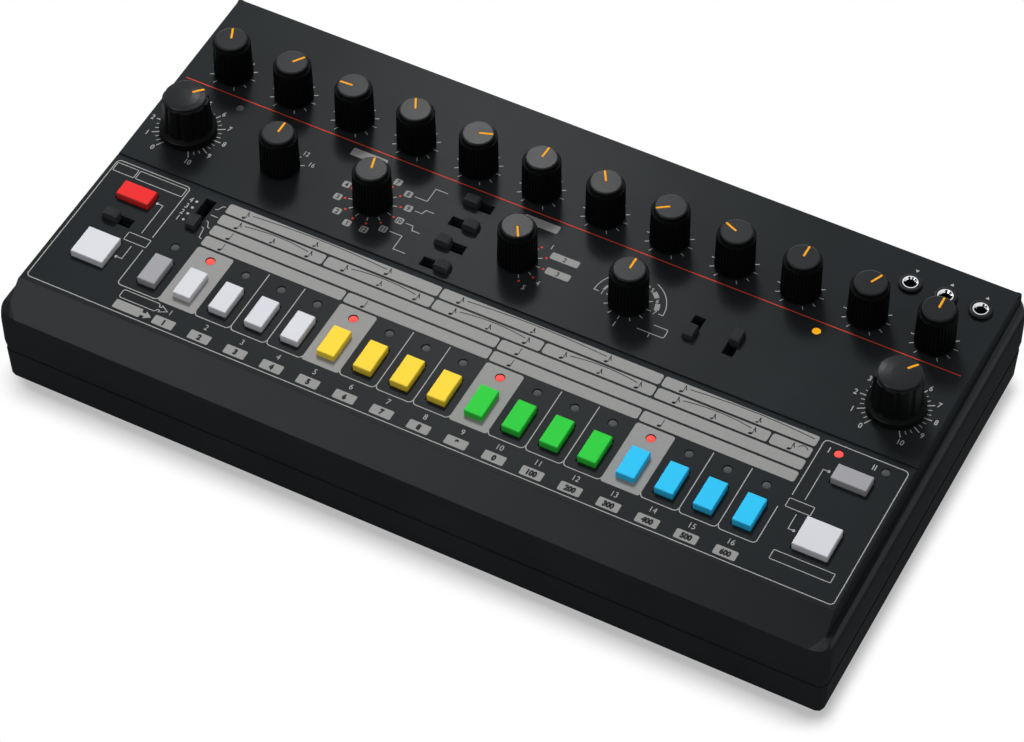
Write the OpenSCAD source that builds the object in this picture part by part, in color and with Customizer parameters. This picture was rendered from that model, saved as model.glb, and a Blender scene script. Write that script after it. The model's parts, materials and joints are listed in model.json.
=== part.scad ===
// Desktop drum machine: a two-part moulded case with a knob panel, a key panel and rear sockets.
// Origin: centre of the case, on the surface the rubber feet stand on. +X right, +Y rear, +Z up.

/* [Case] */
// Widest width of the case
case_w = 305; // [302:1:318]
// Depth of the case
case_d = 160.4; // [158:0.2:172]
// Height of the deck above the underside of the case
case_h = 45.3; // [44:0.1:52]
// Height of the lower shell, up to the parting line
lower_h = 17.6; // [16:0.1:18]
// Wall thickness of both shells
wall = 2.5; // [1.8:0.1:2.8]
// Thickness of the deck
deck_t = 2.5; // [2:0.1:3]
// Plan radius of the case corners at the widest height
corner_r = 7.5; // [6:0.5:10]
// How far the raised deck stands in from the widest outline
deck_inset = 3.3; // [2.8:0.1:4]
// Plan radius of the raised deck's corners
deck_corner_r = 1.6; // [1:0.1:4]
// Drop from the deck to the side ledge at the rear
ledge_drop_rear = 3.7; // [3:0.1:4.5]
// Drop from the deck to the side ledge at the front
ledge_drop_front = 6; // [4.5:0.1:7]
// Run of the sloping front bezel, measured level
bezel_run = 10.5; // [8:0.5:12]
// Fall of the sloping front bezel
bezel_fall = 10; // [8:0.5:12]
// Thickness of the shadow gap between the two shells
shadow_gap = 0.4; // [0.2:0.1:0.6]
// Distance of the groove across the deck from the front of the case
groove_y = 73.8; // [73:0.1:74.5]
// Width of the groove across the deck
groove_w = 0.9; // [0.6:0.1:1.2]
// Depth of the groove across the deck
groove_depth = 0.6; // [0.3:0.1:1]
// Length of the ramp that leads down into the groove from the front
groove_ramp = 1.8; // [1:0.1:2]

/* [Feet and screws] */
// Height of the rubber feet below the case
foot_h = 2; // [1:0.5:4]
// Diameter of the rubber feet
foot_d = 13; // [10:0.5:16]
// Depth of the recess each foot is glued into
foot_recess = 0.8; // [0.4:0.1:1.2]
// Diameter of the screw shanks
screw_d = 2.8; // [2.4:0.1:3]
// Diameter of the screw heads
screw_head_d = 5.4; // [4.5:0.1:5.6]
// Diameter of the screw bosses
boss_d = 6.8; // [6.2:0.1:7]

/* [Keys] */
// Distance from each side of the case to the first and the last key of the row
key_edge = 43.06; // [42:0.02:44]
// Width of a step key
key_w = 6.7; // [5.5:0.1:7.5]
// Length of a step key
key_l = 12.5; // [11:0.1:14]
// Side of the two large square keys
square_key = 12.4; // [11.5:0.1:13]
// How far a key top stands above the deck
key_rise = 2.3; // [1.8:0.1:3]
// Travel of a key
key_travel = 1.2; // [0.5:0.1:1.4]
// Bevel round a key top
key_bevel = 0.3; // [0.2:0.1:0.8]
// Gap between a key and its opening
key_gap = 0.35; // [0.3:0.05:0.5]
// Distance of the step keys from the front of the case
key_row_y = 33; // [32:0.1:34]
// Distance of the step lamps from the front of the case
led_row_y = 45.9; // [45.4:0.1:46.6]
// Distance of the two wide keys from the front of the case
wide_key_y = 59.5; // [58.5:0.1:60]
// Distance of the side keys from the nearer side of the case
side_key_edge = 19.7; // [19:0.1:20.5]

/* [Knobs] */
// Distance from each side of the case to the first and the last knob of the top row
knob_edge = 19.565; // [19:0.005:21]
// Diameter of the small knobs over their ribs at the top
knob_d = 13.3; // [12.5:0.1:13.6]
// Diameter of the small knobs over their ribs at the foot
knob_foot_d = 13.8; // [13.6:0.1:14.4]
// Height of the small knobs
knob_h = 16.6; // [15:0.1:18]
// Diameter of the raised cap on a small knob
knob_cap_d = 11.4; // [10:0.1:11.6]
// Number of ribs round a small knob
knob_ribs = 36; // [30:1:40]
// Depth of the ribs
rib_depth = 0.4; // [0.3:0.05:0.5]
// Distance of the pointer's groove from the middle of a small knob
pointer_start = 0.1; // [0:0.1:2]
// Width of the pointer's groove
pointer_w = 0.8; // [0.5:0.05:0.9]
// Depth of the pointer's groove
pointer_depth = 0.25; // [0.15:0.05:0.5]
// Diameter of the skirt of the two big knobs
big_knob_d = 20; // [19:0.1:21]
// Height of the skirt
big_skirt_h = 3.4; // [2.6:0.1:4]
// Diameter of a big knob's body at its foot
big_body_d = 17.8; // [17.4:0.1:18]
// Diameter of a big knob's body at its top
big_top_d = 16; // [15.6:0.1:17]
// Diameter of the disc on top of a big knob
big_disc_d = 14.6; // [13.6:0.1:15]
// Height of the big knobs
big_knob_h = 17.6; // [16:0.1:19]
// Number of scallops round a big knob
big_scallops = 10; // [8:1:12]
// Depth of the scallops
scallop_depth = 0.5; // [0.3:0.1:0.6]
// Distance of the pointer's groove from the middle of a big knob
big_pointer_start = 2.6; // [2:0.1:4]
// Gap between a knob and the deck
knob_gap = 0.4; // [0.3:0.1:1]
// Diameter of a potentiometer shaft
shaft_d = 6; // [5:0.1:6.4]
// Running clearance round a shaft, on the radius
shaft_play = 0.1; // [0.06:0.02:0.2]
// Distance of the top knob row from the rear of the case
top_row_rear = 35.3; // [34.5:0.1:36.5]
// Distance between the two knob rows
row_gap = 31; // [30:0.1:31.5]

/* [Slide switches] */
// Length of the two-way slots
slot_l = 10.8; // [10.4:0.1:11.6]
// Width of all slots
slot_w = 4; // [3.8:0.1:4.4]
// Length of the four-way slot
scale_slot_l = 14.8; // [14:0.1:15.4]
// Length of a lever's grip along its slot
grip_l = 5.3; // [4.8:0.1:5.6]
// Height of a grip above the deck
grip_h = 2.9; // [2.4:0.1:4]
// Gap between a grip and its slot
grip_gap = 0.25; // [0.15:0.05:0.3]
// Distance between neighbouring voice switches
voice_pitch = 10.18; // [9.8:0.02:10.4]

/* [Lamps] */
// Diameter of the lamps
led_d = 3; // [2.6:0.1:3.2]
// Gap round a lamp in the deck
led_gap = 0.12; // [0.08:0.02:0.2]

/* [Sockets] */
// Bore of the 3.5 mm jacks
mini_bore_d = 3.6; // [3.5:0.05:3.8]
// Bore of the 6.35 mm jack
phone_bore_d = 6.5; // [6.4:0.05:6.8]
// Diameter of the chrome bushes of the top jacks
bush_d = 5.4; // [5.2:0.1:6]
// Diameter of the black nuts of the top jacks
nut_d = 8.2; // [7.8:0.1:9]
// Height of the nuts above the deck
nut_h = 1.3; // [1:0.1:2]
// Distance between neighbouring top jacks
top_jack_pitch = 12.65; // [12:0.05:13]
// Distance of the middle top jack from the right side of the case
top_jack_edge = 24.25; // [23.5:0.05:25]
// Distance of the top jacks from the rear of the case
top_jack_rear = 16.1; // [15.5:0.1:17]
// Side of a top jack's square body
top_jack_w = 8.6; // [8:0.1:9]
// Number of 3.5 mm jacks in the row at the rear
rear_jacks = 10; // [6:1:10]
// Diameter of the round five-pin sockets
din_d = 15.4; // [15:0.1:16]

/* [Boards] */
// Thickness of the circuit boards
board_t = 1.6; // [1.2:0.1:2]
// Depth of the control board's top below the deck
board_drop = 13.7; // [13.2:0.1:14]
// Depth of the main board's top below the deck
main_board_z = 33.7; // [33.5:0.1:34.7]

/* [Hidden] */
$fn = 48;
HULL_FN = 32;
EPS = 0.01;
FIT = 0.05;

y_front = -case_d / 2;
y_rear = case_d / 2;
z_case = foot_h;
z_split = z_case + lower_h;
z_deck = z_case + case_h;
z_under = z_deck - deck_t;
z_board = z_deck - board_drop;
z_main = z_deck - main_board_z;

// Case outline: [inset from the widest outline, height above the case's underside]
LOWER_PROFILE = [[3, 0], [2.3, 0.9], [0.6, lower_h - shadow_gap / 2]];
UPPER_PROFILE = [
    [0.6, lower_h + shadow_gap / 2], [0, lower_h + 4], [0, case_h - 12],
    [0.35, case_h - 8.5], [1.1, case_h - 6], [2.2, case_h - 3.3]
];
DECK_EDGE = 0.4;
DECK_ROOT = 10;

// Screw bosses along both sides, by their distances from the front
BOSS_EDGE = 9.3;
BOSS_ROWS = [24, 80, case_d - 8.2];
BOSSES = [for (side = [-1, 1], y = BOSS_ROWS) [side * (case_w / 2 - BOSS_EDGE), y_front + y]];
SCREW_HEAD_Z = z_case + 9;
SCREW_HEAD_H = 2;
BOSS_BITE = 13;
PILLAR_BITE = 7;
FEET = [for (x = [-1, 1], y = [-1, 1]) [x * (case_w / 2 - 20), y * (case_d / 2 - 18)]];

// Sideways places of the keys and knobs; both rows stand a little left of the middle
KEY_SHIFT = -0.21;
KNOB_SHIFT = -0.2;
key_pitch = (case_w - 2 * key_edge) / 16;
knob_pitch = (case_w - 2 * knob_edge) / 11;
side_key_x = case_w / 2 - side_key_edge;
function key_x(i) = (i - 8) * key_pitch + KEY_SHIFT;
function knob_x(k) = (k - 5.5) * knob_pitch + KNOB_SHIFT;

key_y = y_front + key_row_y;
led_y = y_front + led_row_y;
wide_y = y_front + wide_key_y;
top_y = y_rear - top_row_rear;
second_y = top_y - row_gap;

// Pillars under the deck that carry the control board: [x, y]
PILLAR_D = 5.4;
PILLAR_EDGE = 36.5;
PILLARS = [
    for (x = [-1, 0, 1]) [x * (case_w / 2 - PILLAR_EDGE), y_front + 20],
    for (k = [2.3, 6.15, 9.6]) [knob_x(k), second_y - 15.1],
    for (k = [0.5, 5.5, 10.5]) [knob_x(k), top_y]
];

// Every key: [x, y, width, length]
KEYS = concat(
    [for (i = [0:16]) [key_x(i), key_y, key_w, key_l]],
    [[-side_key_x, wide_y, key_l, key_w]],
    [[-side_key_x, key_y, square_key, square_key]],
    [[side_key_x, wide_y, key_l, key_w]],
    [[side_key_x, key_y, square_key, square_key]]
);
CLEAR = 17;
START = 18;
PATTERN = 19;
TAP = 20;
KEY_STEM_D = 3.4;

// Pointer angles of the top row as they stand, from left to right
TOP_ANGLES = [113, 55, 184, 117, 21, 87, 121, 215, 158, 90, 65, 91];
// Second row: [x, pointer angle]
TEMPO = [knob_x(0), 51];
VARIATION = [knob_x(1.505), 90];
INSTRUMENT = [knob_x(3), 105];
PATTERN_DIAL = [knob_x(5.287), -60];
FILL = [knob_x(7), 90];
VOLUME = [knob_x(11), 56];
SECOND_ROW = [TEMPO, VARIATION, INSTRUMENT, PATTERN_DIAL, FILL, VOLUME];

// Slide switches: [x, y, slot length, turn of the slot, side the lever stands at]
VOICES = [
    for (i = [0:3]) [knob_x(4.344), second_y + voice_pitch * (1.5 - i), slot_l, 0, i % 2 == 0 ? -1 : 1]
];
FADE_IN = [knob_x(7.995), second_y - 0.1, slot_l, 90, -1];
FADE_OUT = [knob_x(8.6), second_y - 0.1, slot_l, 90, 1];
SCALE = [key_x(0) + 0.15, y_front + 62.4, scale_slot_l, 90, -1];
AUTO = [-side_key_x - 0.4, y_front + 47.85, slot_l, 0, -1];
SLIDES = concat(VOICES, [FADE_IN, FADE_OUT, SCALE, AUTO]);
function lever_off(s) = s[4] * (s[2] - grip_l) / 2 - s[4] * grip_gap;

// Lamps: [x, y]
LAMP_PAIR = 8.25;
LEDS = concat(
    [for (i = [0:16]) [key_x(i), led_y]],
    [for (side = [-1, 1]) [side_key_x - 0.2 + side * LAMP_PAIR, wide_y + 8.5]],
    [for (k = [0.422, 9.497]) [knob_x(k), second_y + 17.6]]
);

// Sockets on the deck and along the rear wall
top_jack_y = y_rear - top_jack_rear;
TOP_JACKS = [for (i = [-1:1]) case_w / 2 - top_jack_edge + top_jack_pitch * i];
REAR_AXIS = z_main + 9;
ROCKER_X = case_w / 2 - 25.5;
DC_X = ROCKER_X - 20;
USB_X = DC_X - 18;
DINS = [USB_X - 47, USB_X - 23];
HEADPHONE_X = 25.5 - case_w / 2;
PHONE_X = HEADPHONE_X + 17;
DIN_W = 20;
PHONE_W = 15.6;
JACK_W = 9.6;
SOCKET_GAP = 1.2;
row_start = DINS[0] - DIN_W / 2 - SOCKET_GAP - JACK_W / 2;
row_end = PHONE_X + PHONE_W / 2 + SOCKET_GAP + JACK_W / 2;
REAR_JACKS = concat(
    [for (i = [0:rear_jacks - 1]) row_start + (row_end - row_start) * i / (rear_jacks - 1)], [HEADPHONE_X]
);
LEAD_IN = 0.8;
NOSE_D = 6;
PHONE_NOSE_D = 11.4;
DC_NOSE_D = 8.4;
USB = [12, 11];
ROCKER = [16, 11];
ROCKER_TILT = 10;
ROCKER_PIVOT = 3.8;
FLUSH = 0.3;
REAR_GAP = 0.15;

// ---- Shapes that several pieces share ----

// Rectangle with round corners, centred
module round_rect(w, d, r) {
    square([w - 2 * r, d], center = true);
    square([w, d - 2 * r], center = true);
    for (x = [-1, 1], y = [-1, 1])
        translate([x * (w / 2 - r), y * (d / 2 - r)])
            circle(r);
}

// Thin slice of the case outline, set in by inset at a height above the case's underside
module case_slice(inset, z, outer_r = corner_r) {
    translate([0, 0, z_case + z])
        linear_extrude(EPS)
            round_rect(case_w - 2 * inset, case_d - 2 * inset, max(outer_r - inset, 1), $fn = HULL_FN);
}

// Outline in the side view, swept across the whole width
module across(points) {
    rotate([90, 0, 90])
        linear_extrude(case_w + 4, center = true)
            polygon(points);
}

// Everything in front of the bezel plane, set back by depth
module bezel_cut(depth) {
    run = depth * norm([bezel_run, bezel_fall]) / bezel_fall;
    slope = bezel_fall / bezel_run;
    y0 = y_front + run;
    across([
        [y0 - 20, z_deck - bezel_fall - 20 * slope],
        [y0 + bezel_run + 20, z_deck + 20 * slope],
        [y0 - 20, z_deck + 20 * slope]
    ]);
}

// Vertical cylinder between two heights
module post(x, y, z0, z1, d) {
    translate([x, y, z0])
        cylinder(h = z1 - z0, d = d);
}

// Block between two heights, centred on a point
module block(x, y, z0, z1, w, l) {
    translate([x - w / 2, y - l / 2, z0])
        cube([w, l, z1 - z0]);
}

// Cylinder along Y between two depths, at the sockets' height
module barrel(x, y0, y1, d) {
    translate([x, y0, REAR_AXIS])
        rotate([-90, 0, 0])
            cylinder(h = y1 - y0, d = d);
}

// ---- Case ----

module deck_openings() {
    for (k = KEYS)
        block(k[0], k[1], z_under - 1, z_deck + 1, k[2] + 2 * key_gap, k[3] + 2 * key_gap);
    for (k = [0:11])
        post(knob_x(k), top_y, z_under - 1, z_deck + 1, shaft_d + 1.6);
    for (s = SECOND_ROW)
        post(s[0], second_y, z_under - 1, z_deck + 1, shaft_d + 1.6);
    for (s = SLIDES)
        translate([s[0], s[1], z_under - 1])
            rotate([0, 0, s[3]])
                translate([-s[2] / 2, -slot_w / 2, 0])
                    cube([s[2], slot_w, deck_t + 2]);
    for (l = LEDS)
        post(l[0], l[1], z_under - 1, z_deck + 1, led_d + 2 * led_gap);
    for (x = TOP_JACKS)
        post(x, top_jack_y, z_under - 1, z_deck + 1, bush_d + 0.4);
}

module rear_openings() {
    y0 = y_rear - wall - 3;
    y1 = y_rear + 1;
    for (x = REAR_JACKS)
        barrel(x, y0, y1, NOSE_D + 2 * REAR_GAP);
    barrel(PHONE_X, y0, y1, PHONE_NOSE_D + 2 * REAR_GAP);
    barrel(DC_X, y0, y1, DC_NOSE_D + 2 * REAR_GAP);
    for (x = DINS)
        barrel(x, y0, y1, din_d + 2 * REAR_GAP);
    for (p = [[USB_X, USB], [ROCKER_X, ROCKER]])
        translate([p[0] - p[1][0] / 2 - REAR_GAP, y0, REAR_AXIS - p[1][1] / 2 - REAR_GAP])
            cube([p[1][0] + 2 * REAR_GAP, y1 - y0, p[1][1] + 2 * REAR_GAP]);
}

module upper_case() {
    color("#2c2d2f")
    difference() {
        union() {
            difference() {
                union() {
                    difference() {
                        hull()
                            for (p = UPPER_PROFILE)
                                case_slice(p[0], p[1]);
                        across([
                            [y_front - 1, z_deck - ledge_drop_front], [y_rear + 1, z_deck - ledge_drop_rear],
                            [y_rear + 1, z_deck + 1], [y_front - 1, z_deck + 1]
                        ]);
                    }
                    hull() {
                        outer_r = deck_inset + deck_corner_r;
                        case_slice(deck_inset - 0.3, case_h - DECK_ROOT, outer_r);
                        case_slice(deck_inset, case_h - DECK_EDGE, outer_r);
                        case_slice(deck_inset + DECK_EDGE, case_h - EPS, outer_r);
                    }
                }
                bezel_cut(0);
                difference() {
                    hull() {
                        case_slice(wall + 0.6, lower_h - 1);
                        case_slice(wall, lower_h + 4);
                        case_slice(wall + 0.35, case_h - 9);
                        case_slice(deck_inset + wall, case_h - deck_t - EPS);
                    }
                    bezel_cut(wall);
                }
            }
            for (b = BOSSES)
                post(b[0], b[1], z_split, z_under + 1, boss_d);
            for (p = PILLARS)
                post(p[0], p[1], z_board, z_under + 1, PILLAR_D);
        }
        for (b = BOSSES)
            post(b[0], b[1], z_split - 1, z_split + BOSS_BITE + 1, screw_d + 2 * FIT);
        for (p = PILLARS)
            post(p[0], p[1], z_board - 1, z_board + PILLAR_BITE + 1, screw_d + 2 * FIT);
        deck_openings();
        rear_openings();
        deck_groove();
    }
}

// Groove across the deck: a ramp down from the front and a square step back up
module deck_groove() {
    back = y_front + groove_y + groove_w / 2;
    across([
        [back - groove_w - groove_ramp, z_deck], [back - groove_w, z_deck - groove_depth * 0.8],
        [back, z_deck - groove_depth], [back, z_deck + 1], [back - groove_w - groove_ramp, z_deck + 1]
    ]);
}

module lower_case() {
    lip_inset = wall + 0.6 + 0.2;
    color("#1d1e1f")
    difference() {
        union() {
            difference() {
                union() {
                    hull()
                        for (p = LOWER_PROFILE)
                            case_slice(p[0], p[1]);
                    translate([0, 0, z_split - 3])
                        linear_extrude(5.4)
                            round_rect(case_w - 2 * lip_inset, case_d - 2 * lip_inset, corner_r - lip_inset);
                }
                hull() {
                    case_slice(wall + 2, wall);
                    case_slice(wall + 2, lower_h + 4);
                }
            }
            for (b = BOSSES)
                post(b[0], b[1], z_case + wall - 1, z_split, boss_d + 1.6);
            for (x = [-1, 0, 1], y = [42, 8.2])
                post(x * (case_w / 2 - 32.5), y_rear - y, z_case + wall - 1, z_main - board_t, 6);
        }
        for (b = BOSSES) {
            post(b[0], b[1], z_case - 1, z_split + 1, screw_d + 0.6);
            post(b[0], b[1], z_case - 1, SCREW_HEAD_Z, screw_head_d + 0.8);
        }
        for (f = FEET)
            post(f[0], f[1], z_case - 1, z_case + foot_recess, foot_d + 0.3);
        rear_openings();
    }
}

module rubber_feet() {
    color("#151515")
    for (f = FEET)
        translate([f[0], f[1], 0])
            rotate_extrude()
                polygon([[0, 0], [foot_d / 2 - 0.6, 0], [foot_d / 2, 0.6], [foot_d / 2, foot_h + foot_recess],
                    [0, foot_h + foot_recess]]);
}

// Pan-head screw that points up, its head's seat at z
module screw_up(x, y, z, length) {
    translate([x, y, z])
        rotate_extrude()
            polygon([[0, -SCREW_HEAD_H], [screw_head_d / 2 - 0.8, -SCREW_HEAD_H],
                [screw_head_d / 2, 0.8 - SCREW_HEAD_H], [screw_head_d / 2, 0],
                [screw_d / 2, 0], [screw_d / 2, length - 0.8], [0, length]]);
}

module screws() {
    color("#9a9c9e") {
        for (b = BOSSES)
            screw_up(b[0], b[1], SCREW_HEAD_Z, z_split - SCREW_HEAD_Z + BOSS_BITE);
        for (p = PILLARS)
            screw_up(p[0], p[1], z_board - board_t, board_t + PILLAR_BITE);
    }
}

// ---- Boards and what stands on them ----

module control_board() {
    color("#1f4a2c")
    translate([0, 0, z_board - board_t])
        linear_extrude(board_t)
            difference() {
                translate([0, bezel_run / 2])
                    round_rect(case_w - 2 * (deck_inset + wall + 0.9), case_d - bezel_run - 2 * wall - 8, 2);
                for (b = BOSSES)
                    translate(b)
                        circle(d = boss_d + 1);
                for (p = PILLARS)
                    translate(p)
                        circle(d = screw_d + 0.4);
            }
}

module main_board() {
    board_l = 44.5;
    board_y = y_rear - wall - 3 - board_l / 2;
    chip_y = y_rear - 38;
    color("#1f4a2c") {
        block(0, board_y, z_main - board_t, z_main, case_w - 30, board_l);
        for (x = [-90, -50, -14, 30, 72])
            block(x, chip_y, z_main, z_main + 1.4, 14, 14);
        for (x = [-118, -108, 100, 112])
            post(x, chip_y, z_main, z_main + 8, 6.3);
        block(0, board_y - board_l / 2 + 3, z_main, z_board - board_t - FIT, 50, 4);
    }
}

module potentiometers() {
    color("#54585c")
    for (p = concat([for (k = [0:11]) [knob_x(k), top_y]], [for (s = SECOND_ROW) [s[0], second_y]]))
        difference() {
            union() {
                block(p[0], p[1], z_board, z_board + 6.8, 9.8, 10.8);
                post(p[0], p[1], z_board + 6, z_under - 0.8, shaft_d + 1.4);
            }
            post(p[0], p[1], z_board + 2, z_under, shaft_d + 2 * shaft_play);
        }
}

module slide_switch_bodies() {
    color("#3a3c3e")
    for (s = SLIDES)
        translate([s[0], s[1], 0])
            rotate([0, 0, s[3]])
                difference() {
                    block(0, 0, z_board, z_under - 0.3, s[2] + 3, 6.8);
                    block(0, 0, z_board + 4, z_under, s[2] + 0.6, 2.6);
                }
}

module key_switches() {
    color("#26282a")
    for (k = KEYS)
        difference() {
            block(k[0], k[1], z_board, z_board + 4, 6.2, 6.2);
            post(k[0], k[1], z_board + 0.4, z_board + 5, KEY_STEM_D + 0.3);
        }
}

module leds() {
    holder_top = z_board + 6;
    dome_h = 0.35;
    dome_r = (led_d * led_d / 4 + dome_h * dome_h) / (2 * dome_h);
    rim = z_deck - dome_h;
    for (l = LEDS) {
        color("#1a1b1c")
        difference() {
            post(l[0], l[1], z_board, holder_top, led_d + 1.6);
            post(l[0], l[1], z_board + 1, holder_top + 1, 1.6);
        }
        color("#8a8c8e") {
            post(l[0], l[1], holder_top + FIT, holder_top + 1.2, led_d + 0.8);
            post(l[0], l[1], holder_top + FIT, rim, led_d);
            intersection() {
                post(l[0], l[1], rim - EPS, z_deck + 1, led_d);
                translate([l[0], l[1], z_deck - dome_r])
                    sphere(dome_r);
            }
        }
    }
}

// ---- Sockets ----

// Smooth nut of a top jack: a ring with a round shoulder outside and a bevel down to the bush
module ring_nut() {
    inner = bush_d / 2 + FIT;
    edge = 0.7;
    rotate_extrude()
        polygon(concat(
            [[inner, 0], [nut_d / 2, 0]],
            [for (a = [0:15:90]) [nut_d / 2 - edge * (1 - cos(a)), nut_h - edge * (1 - sin(a))]],
            [[inner + 0.3, nut_h], [inner, nut_h - 0.3]]
        ));
}

module jack_sockets() {
    bore_depth = 14;
    bush_top = z_deck + nut_h;
    for (x = TOP_JACKS) {
        color("#c9ccd0")
        difference() {
            union() {
                block(x, top_jack_y, z_board, z_under - 0.1, top_jack_w, top_jack_w);
                post(x, top_jack_y, z_under - 1, bush_top, bush_d);
            }
            post(x, top_jack_y, bush_top - bore_depth, bush_top + 1, mini_bore_d);
            translate([x, top_jack_y, bush_top - LEAD_IN])
                cylinder(h = LEAD_IN + EPS, d1 = mini_bore_d, d2 = bush_d - 0.7);
        }
        color("#161719")
        translate([x, top_jack_y, z_deck])
            ring_nut();
    }
    color("#161719")
    for (x = REAR_JACKS)
        difference() {
            union() {
                block(x, y_rear - 12, z_main, z_main + 14, JACK_W, 14);
                barrel(x, y_rear - 12, y_rear - FLUSH, NOSE_D);
            }
            barrel(x, y_rear - FLUSH - bore_depth, y_rear, mini_bore_d);
        }
}

module din_socket(x) {
    difference() {
        union() {
            block(x, y_rear - 11.5, z_main, z_main + 18, DIN_W, 12);
            barrel(x, y_rear - 12, y_rear - FLUSH, din_d);
        }
        difference() {
            barrel(x, y_rear - 8, y_rear, din_d - 1.4);
            barrel(x, y_rear - 9, y_rear + 1, din_d - 3.6);
        }
        for (a = [0:45:180])
            translate([x, y_rear - 7, REAR_AXIS])
                rotate([-90, a, 0])
                    translate([3.75, 0, 0])
                        cylinder(h = 8, d = 1.5);
    }
}

module rear_sockets() {
    color("#161719") {
        for (x = DINS)
            din_socket(x);
        difference() {
            union() {
                block(PHONE_X, y_rear - 16, z_main, z_main + 15.5, PHONE_W, 22);
                barrel(PHONE_X, y_rear - 10, y_rear - FLUSH, PHONE_NOSE_D);
            }
            barrel(PHONE_X, y_rear - FLUSH - 24, y_rear, phone_bore_d);
        }
        difference() {
            union() {
                block(DC_X, y_rear - 11.5, z_main, z_main + 14, 9.6, 13);
                barrel(DC_X, y_rear - 11, y_rear - FLUSH, DC_NOSE_D);
            }
            difference() {
                barrel(DC_X, y_rear - FLUSH - 9, y_rear, 5.8);
                barrel(DC_X, y_rear - 12, y_rear - 2, 2.1);
            }
        }
        rocker_frame();
    }
    color("#b8babd")
    difference() {
        translate([USB_X - USB[0] / 2, y_rear - 16, REAR_AXIS - USB[1] / 2])
            cube([USB[0], 16 - FLUSH, USB[1]]);
        difference() {
            translate([USB_X - 4.25, y_rear - 9, REAR_AXIS - 3.95])
                cube([8.5, 10, 7.9]);
            translate([USB_X - 2.8, y_rear - 10, REAR_AXIS - 1.6])
                cube([5.6, 9, 3.2]);
        }
    }
    color("#161719")
    block(USB_X, y_rear - 11, z_main, REAR_AXIS - USB[1] / 2 - FIT, USB[0], 12);
}

module rocker_frame() {
    difference() {
        union() {
            translate([ROCKER_X - ROCKER[0] / 2, y_rear - 12, REAR_AXIS - ROCKER[1] / 2])
                cube([ROCKER[0], 12 - FLUSH, ROCKER[1]]);
            block(ROCKER_X, y_rear - 10, z_main, REAR_AXIS, 10, 4);
        }
        translate([ROCKER_X - ROCKER[0] / 2 + 1.1, y_rear - 10, REAR_AXIS - ROCKER[1] / 2 + 1.1])
            cube([ROCKER[0] - 2.2, 12, ROCKER[1] - 2.2]);
        post(ROCKER_X, y_rear - ROCKER_PIVOT, REAR_AXIS - ROCKER[1] / 2 + 0.4, REAR_AXIS + ROCKER[1] / 2 - 0.4, 2.2);
    }
}

module power_rocker() {
    half = ROCKER[0] / 2 - 1.7;
    tall = ROCKER[1] - 2.8;
    color("#101112")
    translate([ROCKER_X, y_rear - ROCKER_PIVOT, REAR_AXIS])
        rotate([0, 0, ROCKER_TILT]) {
            linear_extrude(tall, center = true)
                polygon([[-half, -0.5], [-half, 2], [-half * 0.5, 1.5], [0, 1.3], [half * 0.5, 1.5],
                    [half, 2], [half, -0.5], [1.8, -3], [-1.8, -3]]);
            cylinder(h = tall + 1.6, d = 2, center = true);
        }
}

// ---- Knobs ----

// Star outline: crests at d, valleys depth lower, with flats on both
module ribbed(d, count, depth) {
    step = 360 / count;
    polygon([
        for (i = [0:count - 1], p = [[-0.36, 0], [-0.14, 1], [0.14, 1], [0.36, 0]])
            let (a = step * (i + p[0]), r = d / 2 - depth * (1 - p[1]))
                [r * cos(a), r * sin(a)]
    ]);
}

// D-shaped shaft outline
module d_section(d) {
    difference() {
        circle(d = d);
        translate([d / 4, -d])
            square([d, 2 * d]);
    }
}

// Shaft of a potentiometer, up into its knob
module knob_shaft(top) {
    translate([0, 0, z_board + 2.4])
        cylinder(h = z_deck - z_board - 2.4, d = shaft_d);
    translate([0, 0, z_deck])
        linear_extrude(knob_gap + top - FIT)
            d_section(shaft_d);
}

// Small ribbed knob with a raised cap; its pointer lies along +X before the turn
module small_knob(x, y, angle) {
    core = knob_d / 2 - rib_depth - 0.15;
    foot = 0.3;
    cap_z = knob_h - 1.6;
    bore_top = knob_h - 4;
    translate([x, y, 0])
        rotate([0, 0, angle]) {
            color("#16171a")
            translate([0, 0, z_deck + knob_gap])
                difference() {
                    union() {
                        intersection() {
                            translate([0, 0, foot])
                                linear_extrude(cap_z - foot - 0.25)
                                    ribbed(knob_foot_d, knob_ribs, (knob_foot_d - knob_d) / 2 + rib_depth);
                            cylinder(h = cap_z, d1 = knob_foot_d, d2 = knob_d, $fn = 72);
                        }
                        rotate_extrude()
                            polygon([[0, 0], [core - 0.2, 0], [core, 0.2], [core, cap_z], [0, cap_z]]);
                        rotate_extrude()
                            polygon([[0, cap_z - 1], [knob_cap_d / 2, cap_z - 1], [knob_cap_d / 2, knob_h - 0.7],
                                [knob_cap_d / 2 - 0.15, knob_h - 0.3], [knob_cap_d / 2 - 0.6, knob_h],
                                [0, knob_h]]);
                    }
                    translate([0, 0, -1])
                        linear_extrude(bore_top + 1)
                            d_section(shaft_d + 2 * FIT);
                    difference() {
                        translate([0, 0, -1])
                            cylinder(h = bore_top, d = knob_d - 2.6);
                        translate([0, 0, -2])
                            cylinder(h = bore_top + 2, d = shaft_d + 2);
                    }
                    translate([pointer_start, -pointer_w / 2, knob_h - pointer_depth])
                        cube([knob_cap_d / 2 - pointer_start - 0.5, pointer_w, 1]);
                }
            color("#d6d8da")
            knob_shaft(bore_top);
        }
}

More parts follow.
